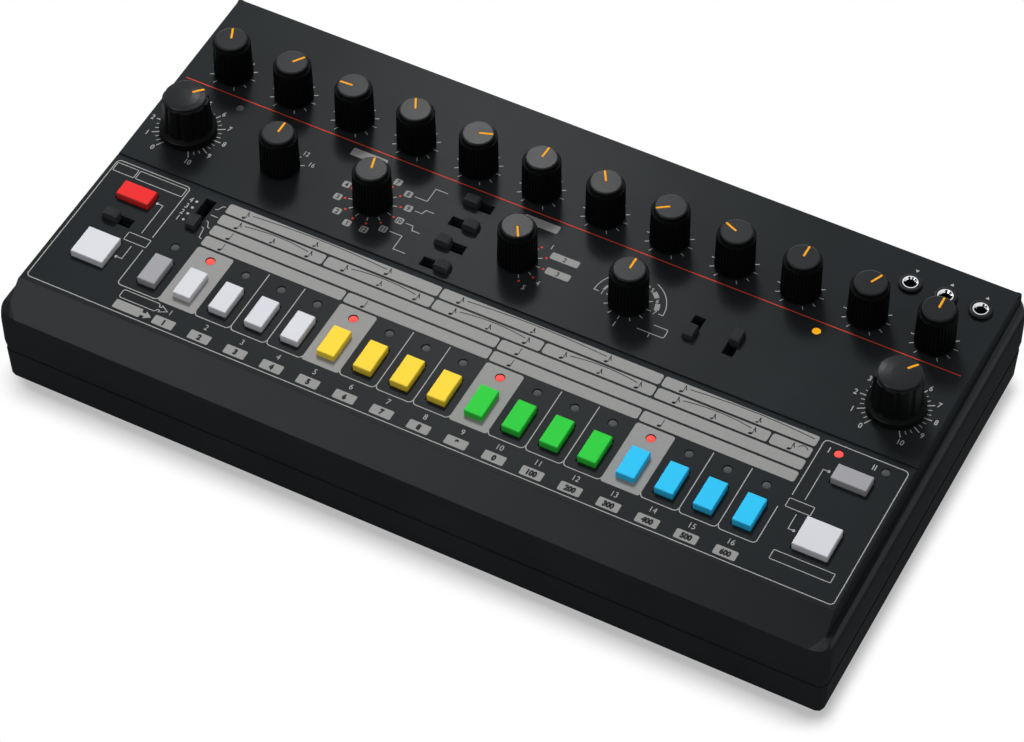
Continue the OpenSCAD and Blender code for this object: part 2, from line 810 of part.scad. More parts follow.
// Big knob: skirt, tapered body with scallops, and a domed disc on top
module big_knob(x, y, angle) {
    shoulder = big_knob_h - 1.9;
    disc_z = big_knob_h - 0.8;
    bore_top = big_knob_h - 5;
    foot_r = big_body_d / 2;
    disc_r = big_disc_d / 2;
    translate([x, y, 0])
        rotate([0, 0, angle]) {
            color("#16171a")
            translate([0, 0, z_deck + knob_gap])
                difference() {
                    union() {
                        rotate_extrude()
                            polygon([[0, 0], [big_knob_d / 2, 0], [big_knob_d / 2, big_skirt_h - 1],
                                [big_knob_d / 2 - 0.2, big_skirt_h - 0.8], [foot_r - 0.6, big_skirt_h],
                                [0, big_skirt_h]]);
                        difference() {
                            cylinder(h = shoulder, d1 = big_body_d, d2 = big_top_d, $fn = 96);
                            scallops(foot_r, big_skirt_h - 0.4, shoulder);
                        }
                        rotate_extrude()
                            polygon([[0, shoulder - 1], [disc_r + 0.2, shoulder - 1], [disc_r + 0.2, shoulder + 0.2],
                                [disc_r - 0.3, shoulder + 0.4], [disc_r - 0.3, disc_z - 0.5], [disc_r, disc_z - 0.3],
                                [disc_r, disc_z], [disc_r - 0.3, disc_z + 0.25], [disc_r * 0.7, disc_z + 0.55],
                                [disc_r * 0.35, big_knob_h - 0.05], [0, big_knob_h]]);
                    }
                    translate([0, 0, -1])
                        linear_extrude(bore_top + 1)
                            d_section(shaft_d + 2 * FIT);
                    difference() {
                        translate([0, 0, -1])
                            cylinder(h = bore_top, d = big_top_d - 4);
                        translate([0, 0, -2])
                            cylinder(h = bore_top + 2, d = shaft_d + 2.4);
                    }
                }
            color("#d6d8da")
            knob_shaft(bore_top);
        }
}

// Upright hollows round a big knob's body, leaning in with its taper
module scallops(r, z0, z1) {
    lean = atan((big_body_d - big_top_d) / 2 / z1);
    hollow_r = 1.7;
    for (i = [0:big_scallops - 1])
        rotate([0, 0, (i + 0.5) * 360 / big_scallops])
            translate([r - scallop_depth + hollow_r, 0, 0])
                rotate([0, -lean, 0])
                    translate([0, 0, z0])
                        cylinder(h = z1, r = hollow_r);
}

// ---- Slide levers ----

// Grip with fine ridges across its domed top, and the stem down into the switch
module slide_lever(s) {
    teeth = 8;
    ridge = 0.22;
    shoulder = 0.35;
    half = grip_l / 2;
    grip_w = slot_w - 2 * grip_gap;
    tooth = (grip_l - 2 * shoulder) / teeth;
    color("#3b3d3f")
    translate([s[0], s[1], 0])
        rotate([0, 0, s[3]])
            translate([lever_off(s), 0, z_deck]) {
                rotate([90, 0, 0])
                    linear_extrude(grip_w, center = true)
                        polygon(concat(
                            [[-half, -1.6], [half, -1.6], [half, grip_h - 0.9]],
                            [for (i = [0:2 * teeth])
                                let (u = half - shoulder - tooth * i / 2, f = u / half)
                                    [u, grip_h - 0.4 * f * f - (i % 2 == 0 ? ridge : 0)]],
                            [[-half, grip_h - 0.9]]
                        ));
                translate([-1.2, -1, z_board + 5 - z_deck])
                    cube([2.4, 2, board_drop - 6]);
            }
}

// ---- Keys ----

// Key cap with bevelled top, a rim that keeps it under the deck, and its stem
module key(k) {
    top = z_deck + key_rise;
    rim = 0.9;
    rim_top = z_under - 0.1;
    cap_h = top - rim_top + rim;
    difference() {
        union() {
            translate([k[0], k[1], top - cap_h])
                intersection() {
                    linear_extrude(cap_h)
                        round_rect(k[2], k[3], 0.5);
                    bevel_block(k[2], k[3], cap_h);
                    rotate([0, 0, 90])
                        bevel_block(k[3], k[2], cap_h);
                }
            block(k[0], k[1], rim_top - rim, rim_top, k[2] + 2 * (key_gap + rim), k[3] + 2 * (key_gap + rim));
        }
        block(k[0], k[1], rim_top - rim - 1, top - 1.5, k[2] - 2.2, k[3] - 2.2);
    }
    post(k[0], k[1], z_board + 0.7 + key_travel, top - 1.4, KEY_STEM_D);
}

// Block w wide, bevelled along both long top edges
module bevel_block(w, l, h) {
    rotate([90, 0, 0])
        linear_extrude(l + 2, center = true)
            polygon([[-w / 2, 0], [w / 2, 0], [w / 2, h - key_bevel], [w / 2 - key_bevel * 0.8, h],
                [key_bevel * 0.8 - w / 2, h], [-w / 2, h - key_bevel]]);
}

module step_key(i) {
    shades = ["#f2f2f4", "#ffdf3c", "#2fd042", "#2ec8ff"];
    color(shades[floor((i - 1) / 4)])
    key(KEYS[i]);
}

// ---- Assembly ----

upper_case();
lower_case();
control_board();
main_board();
potentiometers();
slide_switch_bodies();
key_switches();
leds();
jack_sockets();
rear_sockets();
rubber_feet();
screws();
for (k = [0:11])
    small_knob(knob_x(k), top_y, TOP_ANGLES[k]);
big_knob(TEMPO[0], second_y, TEMPO[1]);  // tempo_knob
small_knob(VARIATION[0], second_y, VARIATION[1]);  // variation_knob
small_knob(INSTRUMENT[0], second_y, INSTRUMENT[1]);  // instrument_knob
small_knob(PATTERN_DIAL[0], second_y, PATTERN_DIAL[1]);  // pattern_knob
small_knob(FILL[0], second_y, FILL[1]);  // fill_knob
big_knob(VOLUME[0], second_y, VOLUME[1]);  // volume_knob
for (i = [0:3])
    slide_lever(VOICES[i]);
slide_lever(FADE_IN);  // fade_in_switch
slide_lever(FADE_OUT);  // fade_out_switch
slide_lever(SCALE);  // scale_switch
slide_lever(AUTO);  // auto_switch
color("#9fa0a4") key(KEYS[0]);  // cancel_key
for (i = [1:16])
    step_key(i);
color("#f03030") key(KEYS[CLEAR]);  // clear_key
color("#f2f2f4") key(KEYS[START]);  // start_key
color("#9fa0a4") key(KEYS[PATTERN]);  // pattern_key
color("#f2f2f4") key(KEYS[TAP]);  // tap_key
power_rocker();
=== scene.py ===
import json
import math

import bmesh
import bpy
from mathutils import Matrix, Vector


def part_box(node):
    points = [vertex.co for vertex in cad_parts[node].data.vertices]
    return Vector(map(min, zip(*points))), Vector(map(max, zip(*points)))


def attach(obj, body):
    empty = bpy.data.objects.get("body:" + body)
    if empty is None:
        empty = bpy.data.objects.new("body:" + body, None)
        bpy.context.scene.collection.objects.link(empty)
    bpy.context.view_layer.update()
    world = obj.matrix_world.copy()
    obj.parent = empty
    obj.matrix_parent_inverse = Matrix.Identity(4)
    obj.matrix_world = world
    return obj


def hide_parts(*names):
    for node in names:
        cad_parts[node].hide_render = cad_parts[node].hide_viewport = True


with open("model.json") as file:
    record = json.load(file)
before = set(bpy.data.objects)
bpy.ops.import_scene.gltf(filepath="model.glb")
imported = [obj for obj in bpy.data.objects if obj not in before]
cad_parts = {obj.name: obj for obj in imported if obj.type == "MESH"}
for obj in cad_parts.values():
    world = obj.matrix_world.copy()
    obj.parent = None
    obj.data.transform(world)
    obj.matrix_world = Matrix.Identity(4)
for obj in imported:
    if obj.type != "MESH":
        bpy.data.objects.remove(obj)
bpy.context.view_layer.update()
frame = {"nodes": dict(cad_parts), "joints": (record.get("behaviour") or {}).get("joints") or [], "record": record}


# ---- Lower shell ----
# The bottom tray of the case, injection moulded in black ABS. The mould is spark eroded, which
# leaves a fine even texture, and the part is used as it comes out, with no paint.

# Painted light: this black, which the upright walls of the upper shell share, is lighter than the deck's, to
# brighten walls that are turned away from the lamps.
WALL_BLACK_AND_PAINTED_LIGHT = "#2c2f31"
LOWER_ROUGHNESS = 0.5
LOWER_GLINT = 0.0006
TEXTURE_PITCH = 0.00045
TEXTURE_DEPTH = 0.000008
POLISH_SPREAD = 0.06
DRIFT_SCALE = 35
MOULD_EDGE = 0.0004
HALF_W, HALF_D = (side * 1000 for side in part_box("upper_case")[1].xy)
SOLID_R, PHOTO_R = 7.5, 3.2
SHARPEST_BEND = 0.4
SHELL_REACH = 5
SKIN_BAND = 0.15
TRAY_LIFT = 3.5
TRAY_TOP, POSTS_TOP, ABOVE_ALL = 4.5, 12.0, 99
RISE = ((0, TRAY_LIFT), (TRAY_TOP, TRAY_TOP + TRAY_LIFT), (POSTS_TOP, POSTS_TOP), (ABOVE_ALL, ABOVE_ALL))
SOLID_TAPER = ((2.0, 3.0), (2.9, 2.3), (19.5, 0.6))
PHOTO_TAPER = ((2.0, 1.3), (2.9, 0.8), (19.5, 0.3))


def shade(code):
    """Linear colour of a plastic or ink sample that is written as a hex code."""
    parts = [int(code[i:i + 2], 16) / 255 for i in (1, 3, 5)]
    linear = [p / 12.92 if p <= 0.04045 else ((p + 0.055) / 1.055) ** 2.4 for p in parts]
    return (*linear, 1)


def moulded(
    name, code, roughness, specular=0.3, pitch=TEXTURE_PITCH, depth=TEXTURE_DEPTH, edge=MOULD_EDGE, flow=0.08
):
    """Moulded plastic: a slow drift of tone from the resin's flow, and the fine pits of the mould."""
    plastic = bpy.data.materials.new(name)
    plastic.use_nodes = True
    nodes = plastic.node_tree.nodes
    links = plastic.node_tree.links
    shader = nodes["Principled BSDF"]
    shader.inputs["Specular IOR Level"].default_value = specular
    place = nodes.new("ShaderNodeTexCoord")
    drift = nodes.new("ShaderNodeTexNoise")
    drift.inputs["Scale"].default_value = DRIFT_SCALE
    tone = nodes.new("ShaderNodeValToRGB")
    base = shade(code)
    tone.color_ramp.elements[0].position = 0.3
    tone.color_ramp.elements[0].color = (*[c * (1 - flow) for c in base[:3]], 1)
    tone.color_ramp.elements[1].position = 0.7
    tone.color_ramp.elements[1].color = (*[min(c * (1 + flow), 1) for c in base[:3]], 1)
    pits = nodes.new("ShaderNodeTexNoise")
    pits.inputs["Scale"].default_value = 1 / pitch
    pits.inputs["Detail"].default_value = 3
    polish = nodes.new("ShaderNodeMapRange")
    polish.inputs["From Min"].default_value = 0.3
    polish.inputs["From Max"].default_value = 0.7
    polish.inputs["To Min"].default_value = roughness - POLISH_SPREAD
    polish.inputs["To Max"].default_value = roughness + POLISH_SPREAD
    corner = nodes.new("ShaderNodeBevel")
    corner.samples = 4
    corner.inputs["Radius"].default_value = edge
    relief = nodes.new("ShaderNodeBump")
    relief.inputs["Distance"].default_value = depth
    links.new(place.outputs["Object"], drift.inputs["Vector"])
    links.new(place.outputs["Object"], pits.inputs["Vector"])
    links.new(drift.outputs["Fac"], tone.inputs["Fac"])
    links.new(tone.outputs["Color"], shader.inputs["Base Color"])
    links.new(pits.outputs["Fac"], polish.inputs["Value"])
    links.new(polish.outputs["Result"], shader.inputs["Roughness"])
    links.new(pits.outputs["Fac"], relief.inputs["Height"])
    links.new(corner.outputs["Normal"], relief.inputs["Normal"])
    links.new(relief.outputs["Normal"], shader.inputs["Normal"])
    return plastic


def dress(node, *materials):
    """Gives a solid its materials; the first one covers it until faces are picked out for the others."""
    mesh = frame["nodes"][node].data
    mesh.materials.clear()
    for material in materials:
        mesh.materials.append(material)
    for face in mesh.polygons:
        face.material_index = 0
    return mesh


def between(table, at):
    """Value read off a short table of (place, value) pairs with straight lines between them."""
    for (a, low), (b, high) in zip(table, table[1:]):
        if at <= b:
            return low + (high - low) * (at - a) / (b - a)
    return table[-1][1]


def tightened(x, y, push=0.0):
    """Moves a point of a shell out by push, and out to the sharper corner that the photograph shows."""
    dx, dy = abs(x) - HALF_W + SOLID_R, abs(y) - HALF_D + SOLID_R
    if min(dx, dy) <= 0:
        return (x + math.copysign(push, x), y) if dx > dy else (x, y + math.copysign(push, y))
    reach = math.hypot(dx, dy) + push
    across, along = dx / math.hypot(dx, dy), dy / math.hypot(dx, dy)
    bend = max(reach - SOLID_R + PHOTO_R, SHARPEST_BEND)
    spare = reach - bend
    if reach * min(along / across, across / along) <= spare:
        out = reach / max(across, along)
    else:
        out = spare * (across + along) + math.sqrt(bend ** 2 - (spare * (across - along)) ** 2)
    return (
        math.copysign(HALF_W - SOLID_R + out * across, x),
        math.copysign(HALF_D - SOLID_R + out * along, y),
    )


def lifted(z):
    """Height of a point of the tray once it stands as high off the table as in the photograph."""
    return between(RISE, z)


def depth_in(x, y):
    """How far inside the widest outline of the solids a point lies."""
    dx, dy = abs(x) - HALF_W + SOLID_R, abs(y) - HALF_D + SOLID_R
    return SOLID_R - (math.hypot(dx, dy) if min(dx, dy) > 0 else max(dx, dy))


def tray_point(x, y, z):
    """Point of the lower shell, moved to the photographed form."""
    skin = between(SOLID_TAPER, z)
    near = depth_in(x, y)
    push = skin - between(PHOTO_TAPER, z) if abs(near - skin) < SKIN_BAND else 0
    if near < SHELL_REACH:
        x, y = tightened(x, y, push)
    return x, y, lifted(z)


def reshaped(node, name, move):
    """Copy of a dressed solid with its points moved; it takes the place of the solid."""
    mesh = frame["nodes"][node].data.copy()
    for point in mesh.vertices:
        point.co = [c / 1000 for c in move(*(c * 1000 for c in point.co))]
    piece = bpy.data.objects.new(name, mesh)
    bpy.context.scene.collection.objects.link(piece)
    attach(piece, "case")
    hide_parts(node)
    return piece


dress("lower_case", moulded("wall_abs_and_painted_light", WALL_BLACK_AND_PAINTED_LIGHT, LOWER_ROUGHNESS, specular=LOWER_GLINT))
reshaped("lower_case", "lower_shell", tray_point)


# ---- Rubber feet ----
# Four round feet of matt black rubber, glued into recesses in the bottom, so that the machine
# stays put while the keys are tapped.

RUBBER_BLACK = "#161616"
RUBBER_ROUGHNESS = 0.86
RUBBER_GLINT = 0.2
RUBBER_PITCH = 0.0008
RUBBER_DEPTH = 0.00004
SOLE = 1


def foot_point(x, y, z):
    """Point of a foot: all but the sole is raised with the tray."""
    return x, y, z + TRAY_LIFT if z > SOLE else z


foot_rubber = moulded(
    "foot_rubber", RUBBER_BLACK, RUBBER_ROUGHNESS, specular=RUBBER_GLINT, pitch=RUBBER_PITCH,
    depth=RUBBER_DEPTH,
)
dress("rubber_feet", foot_rubber)
reshaped("rubber_feet", "feet", foot_point)


# ---- Screws ----
# Zinc-plated pan-head screws. Six clamp the shells together from below and nine hold the
# control board to the pillars under the deck.

ZINC = "#a9abad"
ZINC_ROUGHNESS = 0.35
PLATING_SPREAD = 0.3


def metal(name, code, roughness, pitch=0.0006, depth=0.000006):
    """Plated metal with the faint unevenness that plating and handling leave."""
    plating = bpy.data.materials.new(name)
    plating.use_nodes = True
    nodes = plating.node_tree.nodes
    links = plating.node_tree.links
    shader = nodes["Principled BSDF"]
    shader.inputs["Metallic"].default_value = 1
    shader.inputs["Base Color"].default_value = shade(code)
    place = nodes.new("ShaderNodeTexCoord")
    cloud = nodes.new("ShaderNodeTexNoise")
    cloud.inputs["Scale"].default_value = 1 / pitch
    polish = nodes.new("ShaderNodeMapRange")
    polish.inputs["To Min"].default_value = roughness * (1 - PLATING_SPREAD)
    polish.inputs["To Max"].default_value = roughness * (1 + PLATING_SPREAD)
    relief = nodes.new("ShaderNodeBump")
    relief.inputs["Distance"].default_value = depth
    links.new(place.outputs["Object"], cloud.inputs["Vector"])
    links.new(cloud.outputs["Fac"], polish.inputs["Value"])
    links.new(polish.outputs["Result"], shader.inputs["Roughness"])
    links.new(cloud.outputs["Fac"], relief.inputs["Height"])
    links.new(relief.outputs["Normal"], shader.inputs["Normal"])
    return plating


dress("screws", metal("zinc_plate", ZINC, ZINC_ROUGHNESS))


# ---- Circuit boards ----
# Two glass-fibre boards under green solder mask, a control board behind the deck and a main
# board on the floor of the case. The mask is glossy and shows the copper as paler tracks.

MASK_GREEN = "#16452a"
TRACK_GREEN = "#256b42"
MASK_ROUGHNESS = 0.32
TRACK_PITCH = 0.0025
TRACK_LENGTH = 0.02
TRACK_W = 0.0003


def board_mask():
    """Solder mask over copper: straight tracks show through as a paler green."""
    mask = bpy.data.materials.new("solder_mask")
    mask.use_nodes = True
    nodes = mask.node_tree.nodes
    links = mask.node_tree.links
    shader = nodes["Principled BSDF"]
    shader.inputs["Roughness"].default_value = MASK_ROUGHNESS
    place = nodes.new("ShaderNodeTexCoord")
    tracks = nodes.new("ShaderNodeTexBrick")
    tracks.inputs["Scale"].default_value = 1
    tracks.inputs["Brick Width"].default_value = TRACK_LENGTH
    tracks.inputs["Row Height"].default_value = TRACK_PITCH
    tracks.inputs["Mortar Size"].default_value = TRACK_W
    tracks.inputs["Color1"].default_value = shade(MASK_GREEN)
    tracks.inputs["Color2"].default_value = shade(MASK_GREEN)
    tracks.inputs["Mortar"].default_value = shade(TRACK_GREEN)
    links.new(place.outputs["Object"], tracks.inputs["Vector"])
    links.new(tracks.outputs["Color"], shader.inputs["Base Color"])
    return mask


solder_mask = board_mask()
dress("control_board", solder_mask)
dress("main_board", solder_mask)


# ---- Potentiometers and switches on the control board ----
# Square-bodied potentiometers, slide switches and tact switches, all soldered to the control
# board. Their bodies are moulded in dark grey plastic and hardly show once the deck is on.

COMPONENT_GREY = "#1b1c1d"
COMPONENT_ROUGHNESS = 0.6
COMPONENT_GLINT = 0.08

component_plastic = moulded(
    "component_plastic", COMPONENT_GREY, COMPONENT_ROUGHNESS, specular=COMPONENT_GLINT
)
for name in ("potentiometers", "slide_switch_bodies", "key_switches"):
    dress(name, component_plastic)


# ---- Rear sockets and power rocker ----
# A row of sockets soldered to the main board that ends flush with the rear wall: two round
# five-pin sockets, a data socket with a steel shell, a power inlet, jacks and a rocker switch.

SOCKET_BLACK = "#141517"
SOCKET_ROUGHNESS = 0.42
SOCKET_GLINT = 0.15
DATA_STEEL = "#7d7f82"
DATA_STEEL_ROUGHNESS = 0.28
DATA_X = 0.089
DATA_HALF_W = 0.0061
DATA_BELOW = 0.0055
TONGUE_HALF_W, TONGUE_HALF_H = 0.003, 0.0018
SOCKET_ROW_Z = next(m["pos_m"][2] for m in frame["record"]["mounts"] if m["name"] == "rear_jack_1")

socket_plastic = moulded("socket_plastic", SOCKET_BLACK, SOCKET_ROUGHNESS, specular=SOCKET_GLINT)
data_steel = metal("data_steel", DATA_STEEL, DATA_STEEL_ROUGHNESS)
for face in dress("rear_sockets", socket_plastic, data_steel).polygons:
    aside, above = abs(face.center.x - DATA_X), face.center.z - SOCKET_ROW_Z
    tongue = aside < TONGUE_HALF_W and abs(above) < TONGUE_HALF_H
    if aside < DATA_HALF_W and above > -DATA_BELOW and not tongue:
        face.material_index = 1
dress("power_rocker", socket_plastic)


# ---- Upper shell ----
# The top of the case: deck, sloping front bezel and the upper half of every wall, moulded in
# one piece of the same black ABS. The deck is satin. The walls are as matt as the tray and share its
# black, which carries painted light: it is lighter than the deck's, to brighten faces turned from the lamps.

UPPER_BLACK = "#25282a"
UPPER_ROUGHNESS = 0.3
UPPER_GLINT = 0.02
UPPER_DEPTH = 0.000003
UPRIGHT = 0.2
BEZEL_REACH = 1.3


def lid_point(x, y, z):
    """Point of the upper shell, moved to the photographed form."""
    if depth_in(x, y) < (BEZEL_REACH if y < 0 else SHELL_REACH):
        x, y = tightened(x, y)
    return x, y, z


deck_plastic = moulded(
    "upper_shell_abs", UPPER_BLACK, UPPER_ROUGHNESS, specular=UPPER_GLINT, depth=UPPER_DEPTH
)
for face in dress("upper_case", deck_plastic, bpy.data.materials["wall_abs_and_painted_light"]).polygons:
    # Painted light: upright faces take the tray's lighter black instead of the deck's.
    if abs(face.normal.z) < UPRIGHT:
        face.material_index = 1
reshaped("upper_case", "upper_shell", lid_point)


# ---- Print on the key panel: white lines ----
# White silk-screen ink on the front half of the deck. A thin line runs round the panel and
# down beside the step keys, and short lines with a dot at the end tie a legend to its key.

WHITE_INK = "#b0b0ae"
LINE_W = 0.3
THIN_W = 0.26
front_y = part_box("upper_case")[0].y * 1000
deck_z = max(v.co.z for v in frame["nodes"]["upper_case"].data.vertices) * 1000
INK_ROOT = 0.02
INK_THICK = 0.03
INK_GLINT = 0.05
INK_GRAIN = 900
INK_SPREAD = 0.03
MITRE_LIMIT = 0.35


def screen_ink(name, code, roughness=0.6):
    """Screen-printed ink: nearly flat, a little uneven where the mesh let more or less through."""
    ink = bpy.data.materials.new(name)
    ink.use_nodes = True
    nodes = ink.node_tree.nodes
    links = ink.node_tree.links
    shader = nodes["Principled BSDF"]
    shader.inputs["Specular IOR Level"].default_value = INK_GLINT
    shader.inputs["Roughness"].default_value = roughness
    place = nodes.new("ShaderNodeTexCoord")
    cover = nodes.new("ShaderNodeTexNoise")
    cover.inputs["Scale"].default_value = INK_GRAIN
    cover.inputs["Detail"].default_value = 4
    tone = nodes.new("ShaderNodeValToRGB")
    base = shade(code)
    tone.color_ramp.elements[0].position = 0.25
    tone.color_ramp.elements[0].color = (*[c * (1 - INK_SPREAD) for c in base[:3]], 1)
    tone.color_ramp.elements[1].position = 0.75
    tone.color_ramp.elements[1].color = (*[min(c * (1 + INK_SPREAD), 1) for c in base[:3]], 1)
    links.new(place.outputs["Object"], cover.inputs["Vector"])
    links.new(cover.outputs["Fac"], tone.inputs["Fac"])
    links.new(tone.outputs["Color"], shader.inputs["Base Color"])
    return ink


def printed(name, shapes, ink, lift=0.0):
    """Lays flat shapes on the deck as one closed film of ink; y is from the front of the case."""
    film = bmesh.new()
    base = (deck_z - INK_ROOT) / 1000
    for shape in shapes:
        corners = [film.verts.new((x / 1000, (front_y + y) / 1000, base)) for x, y in shape]
        film.faces.new(corners)
    bmesh.ops.remove_doubles(film, verts=film.verts[:], dist=1e-6)
    raised = bmesh.ops.extrude_face_region(film, geom=film.faces[:])
    upper = [part for part in raised["geom"] if isinstance(part, bmesh.types.BMVert)]
    bmesh.ops.translate(film, verts=upper, vec=(0, 0, (INK_ROOT + INK_THICK + lift) / 1000))
    bmesh.ops.recalc_face_normals(film, faces=film.faces[:])
    mesh = bpy.data.meshes.new(name)
    film.to_mesh(mesh)
    film.free()
    mesh.materials.append(ink)
    piece = bpy.data.objects.new(name, mesh)
    bpy.context.scene.collection.objects.link(piece)
    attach(piece, "case")
    return piece


def turned(x, y, reach, angle):
    """Point at a distance and angle from a centre."""
    return x + reach * math.cos(math.radians(angle)), y + reach * math.sin(math.radians(angle))


def arc(x, y, r, start, end, steps=8):
    """Points along an arc."""
    return [turned(x, y, r, start + (end - start) * i / steps) for i in range(steps + 1)]


def line(points, width, closed=False):
    """Line of even width with mitred corners, as a chain of four-sided shapes."""
    count = len(points)
    sides = []
    for i, (x, y) in enumerate(points):
        before = points[i - 1] if i or closed else None
        after = points[(i + 1) % count] if i < count - 1 or closed else None
        ways = []
        for a, b in ((before, (x, y)), ((x, y), after)):
            if a is not None and b is not None:
                ways.append(Vector((b[0] - a[0], b[1] - a[1])).normalized())
        way = (ways[0] + ways[-1]).normalized()
        spread = width / 2 / max(way.dot(ways[0]), MITRE_LIMIT)
        sides.append(((x - way.y * spread, y + way.x * spread), (x + way.y * spread, y - way.x * spread)))
    chain = []
    for i in range(count if closed else count - 1):
        near, far = sides[i], sides[(i + 1) % count]
        chain.append([near[0], near[1], far[1], far[0]])
    return chain


def rounded(corners, r, steps=5):
    """Corner points of an open path, with each inner corner turned into an arc of radius r."""
    path = [corners[0]]
    for a, b, c in zip(corners, corners[1:], corners[2:]):
        p, q, s = Vector(a), Vector(b), Vector(c)
        into, out = (p - q).normalized(), (s - q).normalized()
        centre = q + (into + out).normalized() * r * math.sqrt(2)
        for i in range(steps + 1):
            t = i / steps
            blend = (q + into * r - centre).lerp(q + out * r - centre, t).normalized() * r
            path.append(tuple(centre + blend))
    path.append(corners[-1])
    return path


def tablet(x0, y0, x1, y1, r, steps=4):
    """Outline of a rectangle with round corners."""
    left, right, low, high = x0 + r, x1 - r, y0 + r, y1 - r
    outline = []
    for x, y, start in ((right, high, 0), (left, high, 90), (left, low, 180), (right, low, 270)):
        outline += arc(x, y, r, start, start + 90, steps)
    return outline


def disc(x, y, r, sides=16):
    """Outline of a round dot."""
    return [turned(x, y, r, 360 * i / sides) for i in range(sides)]


def middle_of(name):
    """Middle of a key or knob in millimetres; y is from the front of the case."""
    low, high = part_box(name)
    return (low.x + high.x) * 500, (low.y + high.y) * 500 - front_y


STEP_1_X = middle_of("step_key_1")[0]
KEY_PITCH = middle_of("step_key_2")[0] - STEP_1_X
ROUND_R = 1.5
PANEL_LEFT, PANEL_RIGHT, PANEL_LOW, PANEL_TOP = -147.4, 147.6, 12.35, 71.4
INNER_LEFT, INNER_RIGHT = -118.6, 118.1
GAP_LOW, GAP_HIGH = 39.8, 46.0
CELL_LOW, CELL_TOP = 23.1, 49.9
CELL_GAP, FIRST_CELL_GAP, PAD_EDGE = 0.18, 0.25, 0.1
CELL_R = 1.4
DIVIDER_OVERLAP = 0.3
PAD_STEPS = (1, 5, 9, 13)
TITLE_BOXES = (
    (-146.8, 66.4, -138.5, 70.2), (-137.8, 66.4, -119.5, 70.2), (-126.9, 41.0, -118.3, 44.6),
    (118.0, 40.9, 126.7, 44.6), (122.2, 19.9, 143.3, 23.7),
)
TITLE_BOX_R = 0.3
KEY_WIRES = (
    [(-125.1, 60.0), (-122.9, 60.0), (-122.9, 46.0)], [(-125.1, 33.2), (-122.9, 33.2), (-122.9, 39.5)],
    [(124.5, 59.9), (122.6, 59.9), (122.6, 46.0)], [(124.5, 33.2), (122.6, 33.2), (122.6, 39.5)],
)
WIRE_DOT_R = 0.55
OPEN_ARROW = [
    (-115.0, 21.5), (-114.5, 22.0), (-101.4, 22.0), (-100.8, 21.4), (-100.8, 20.8),
    (-99.9, 20.8), (-99.9, 21.6), (-97.2, 20.1), (-99.9, 18.7), (-99.9, 19.5),
    (-100.8, 19.5), (-100.8, 19.0), (-101.4, 18.4), (-114.5, 18.4), (-115.0, 18.9),
]


def step_x(n):
    """Sideways place of step key n; halves fall between two keys."""
    return STEP_1_X + KEY_PITCH * (n - 1)


white_ink = screen_ink("white_ink", WHITE_INK)
around = [
    (INNER_LEFT, GAP_HIGH), (INNER_LEFT, PANEL_TOP), (PANEL_LEFT, PANEL_TOP), (PANEL_LEFT, PANEL_LOW),
    (PANEL_RIGHT, PANEL_LOW), (PANEL_RIGHT, PANEL_TOP), (INNER_RIGHT, PANEL_TOP), (INNER_RIGHT, GAP_HIGH),
]
panel_lines = line(rounded(around, ROUND_R), LINE_W)
cell_rise = CELL_LOW + ROUND_R
cells = [(INNER_LEFT, step_x(0.5) - PAD_EDGE, GAP_LOW, cell_rise)]
for pad in PAD_STEPS:
    for n in (pad + 1, pad + 2, pad + 3):
        left = step_x(n - 0.5) + (FIRST_CELL_GAP if n == pad + 1 else CELL_GAP)
        right = step_x(n + 0.5) - (PAD_EDGE if n == pad + 3 else CELL_GAP)
        cells.append((left, min(right, INNER_RIGHT), cell_rise, GAP_LOW if n == 16 else cell_rise))
        if n < pad + 3:
            divider = step_x(n + 0.5)
            panel_lines += line([(divider, CELL_TOP), (divider, cell_rise - DIVIDER_OVERLAP)], LINE_W)
for left, right, left_top, right_top in cells:
    cell = [(left, left_top), (left, CELL_LOW), (right, CELL_LOW), (right, right_top)]
    panel_lines += line(rounded(cell, CELL_R), LINE_W)
for title_box in TITLE_BOXES:
    panel_lines += line(tablet(*title_box, TITLE_BOX_R, 2), THIN_W, closed=True)
for wire in KEY_WIRES:
    panel_lines += line(wire, THIN_W)
    panel_lines.append(disc(*wire[0], WIRE_DOT_R))
panel_lines += line(OPEN_ARROW, THIN_W, closed=True)
printed("panel_lines", panel_lines, white_ink)


# ---- Print on the key panel: grey pads, bars and boxes ----
# A grey ink printed in solid areas: a pad behind every fourth step key, four rows of bars that
# show how a bar is divided, and a row of small number boxes along the front.

GREY_INK = "#969695"
PAD_LOW, PAD_TOP = 23.0, 49.9
PAD_R = 1.0
PAD_RIGHT_EDGE = 0.15
LAMP_ROW_Y = 45.9
LAMP_HOLE_R = 1.75
BAR_ROWS = ((67.0, 71.5, 6), (61.6, 66.1, 3), (56.2, 60.7, 8), (50.8, 55.3, 4))
BAR_GAP = 0.75
BAR_R = 0.9
BAR_END = 0.3
BOX_LOW, BOX_TOP = 13.6, 17.4
BOX_HALF = 3.9
BOX_R = 0.5
ARROW_TAIL = (-114.9, BOX_LOW, -104.6, BOX_TOP)
ARROW_HEAD = [
    (-104.6, 14.9), (-103.2, 14.9), (-103.2, 13.9), (-100.7, 15.5),
    (-103.2, 17.1), (-103.2, 16.1), (-104.6, 16.1),
]


def pad_half(n, start):
    """Half of a pad's outline, from a bearing at the lamp half a turn on, and back round the lamp's hole."""
    x = step_x(n)
    outline = tablet(step_x(n - 0.5) - PAD_EDGE, PAD_LOW, step_x(n + 0.5) + PAD_RIGHT_EDGE, PAD_TOP, PAD_R)

    def bearing(point):
        return (math.degrees(math.atan2(point[1] - LAMP_ROW_Y, point[0] - x)) - start) % 360

    rim = sorted((point for point in outline if bearing(point) < 180), key=bearing)
    ends = [(x, PAD_LOW), (x, PAD_TOP)] if start < 0 else [(x, PAD_TOP), (x, PAD_LOW)]
    return [ends[0], *rim, ends[1], *arc(x, LAMP_ROW_Y, LAMP_HOLE_R, start + 180, start, 12)]


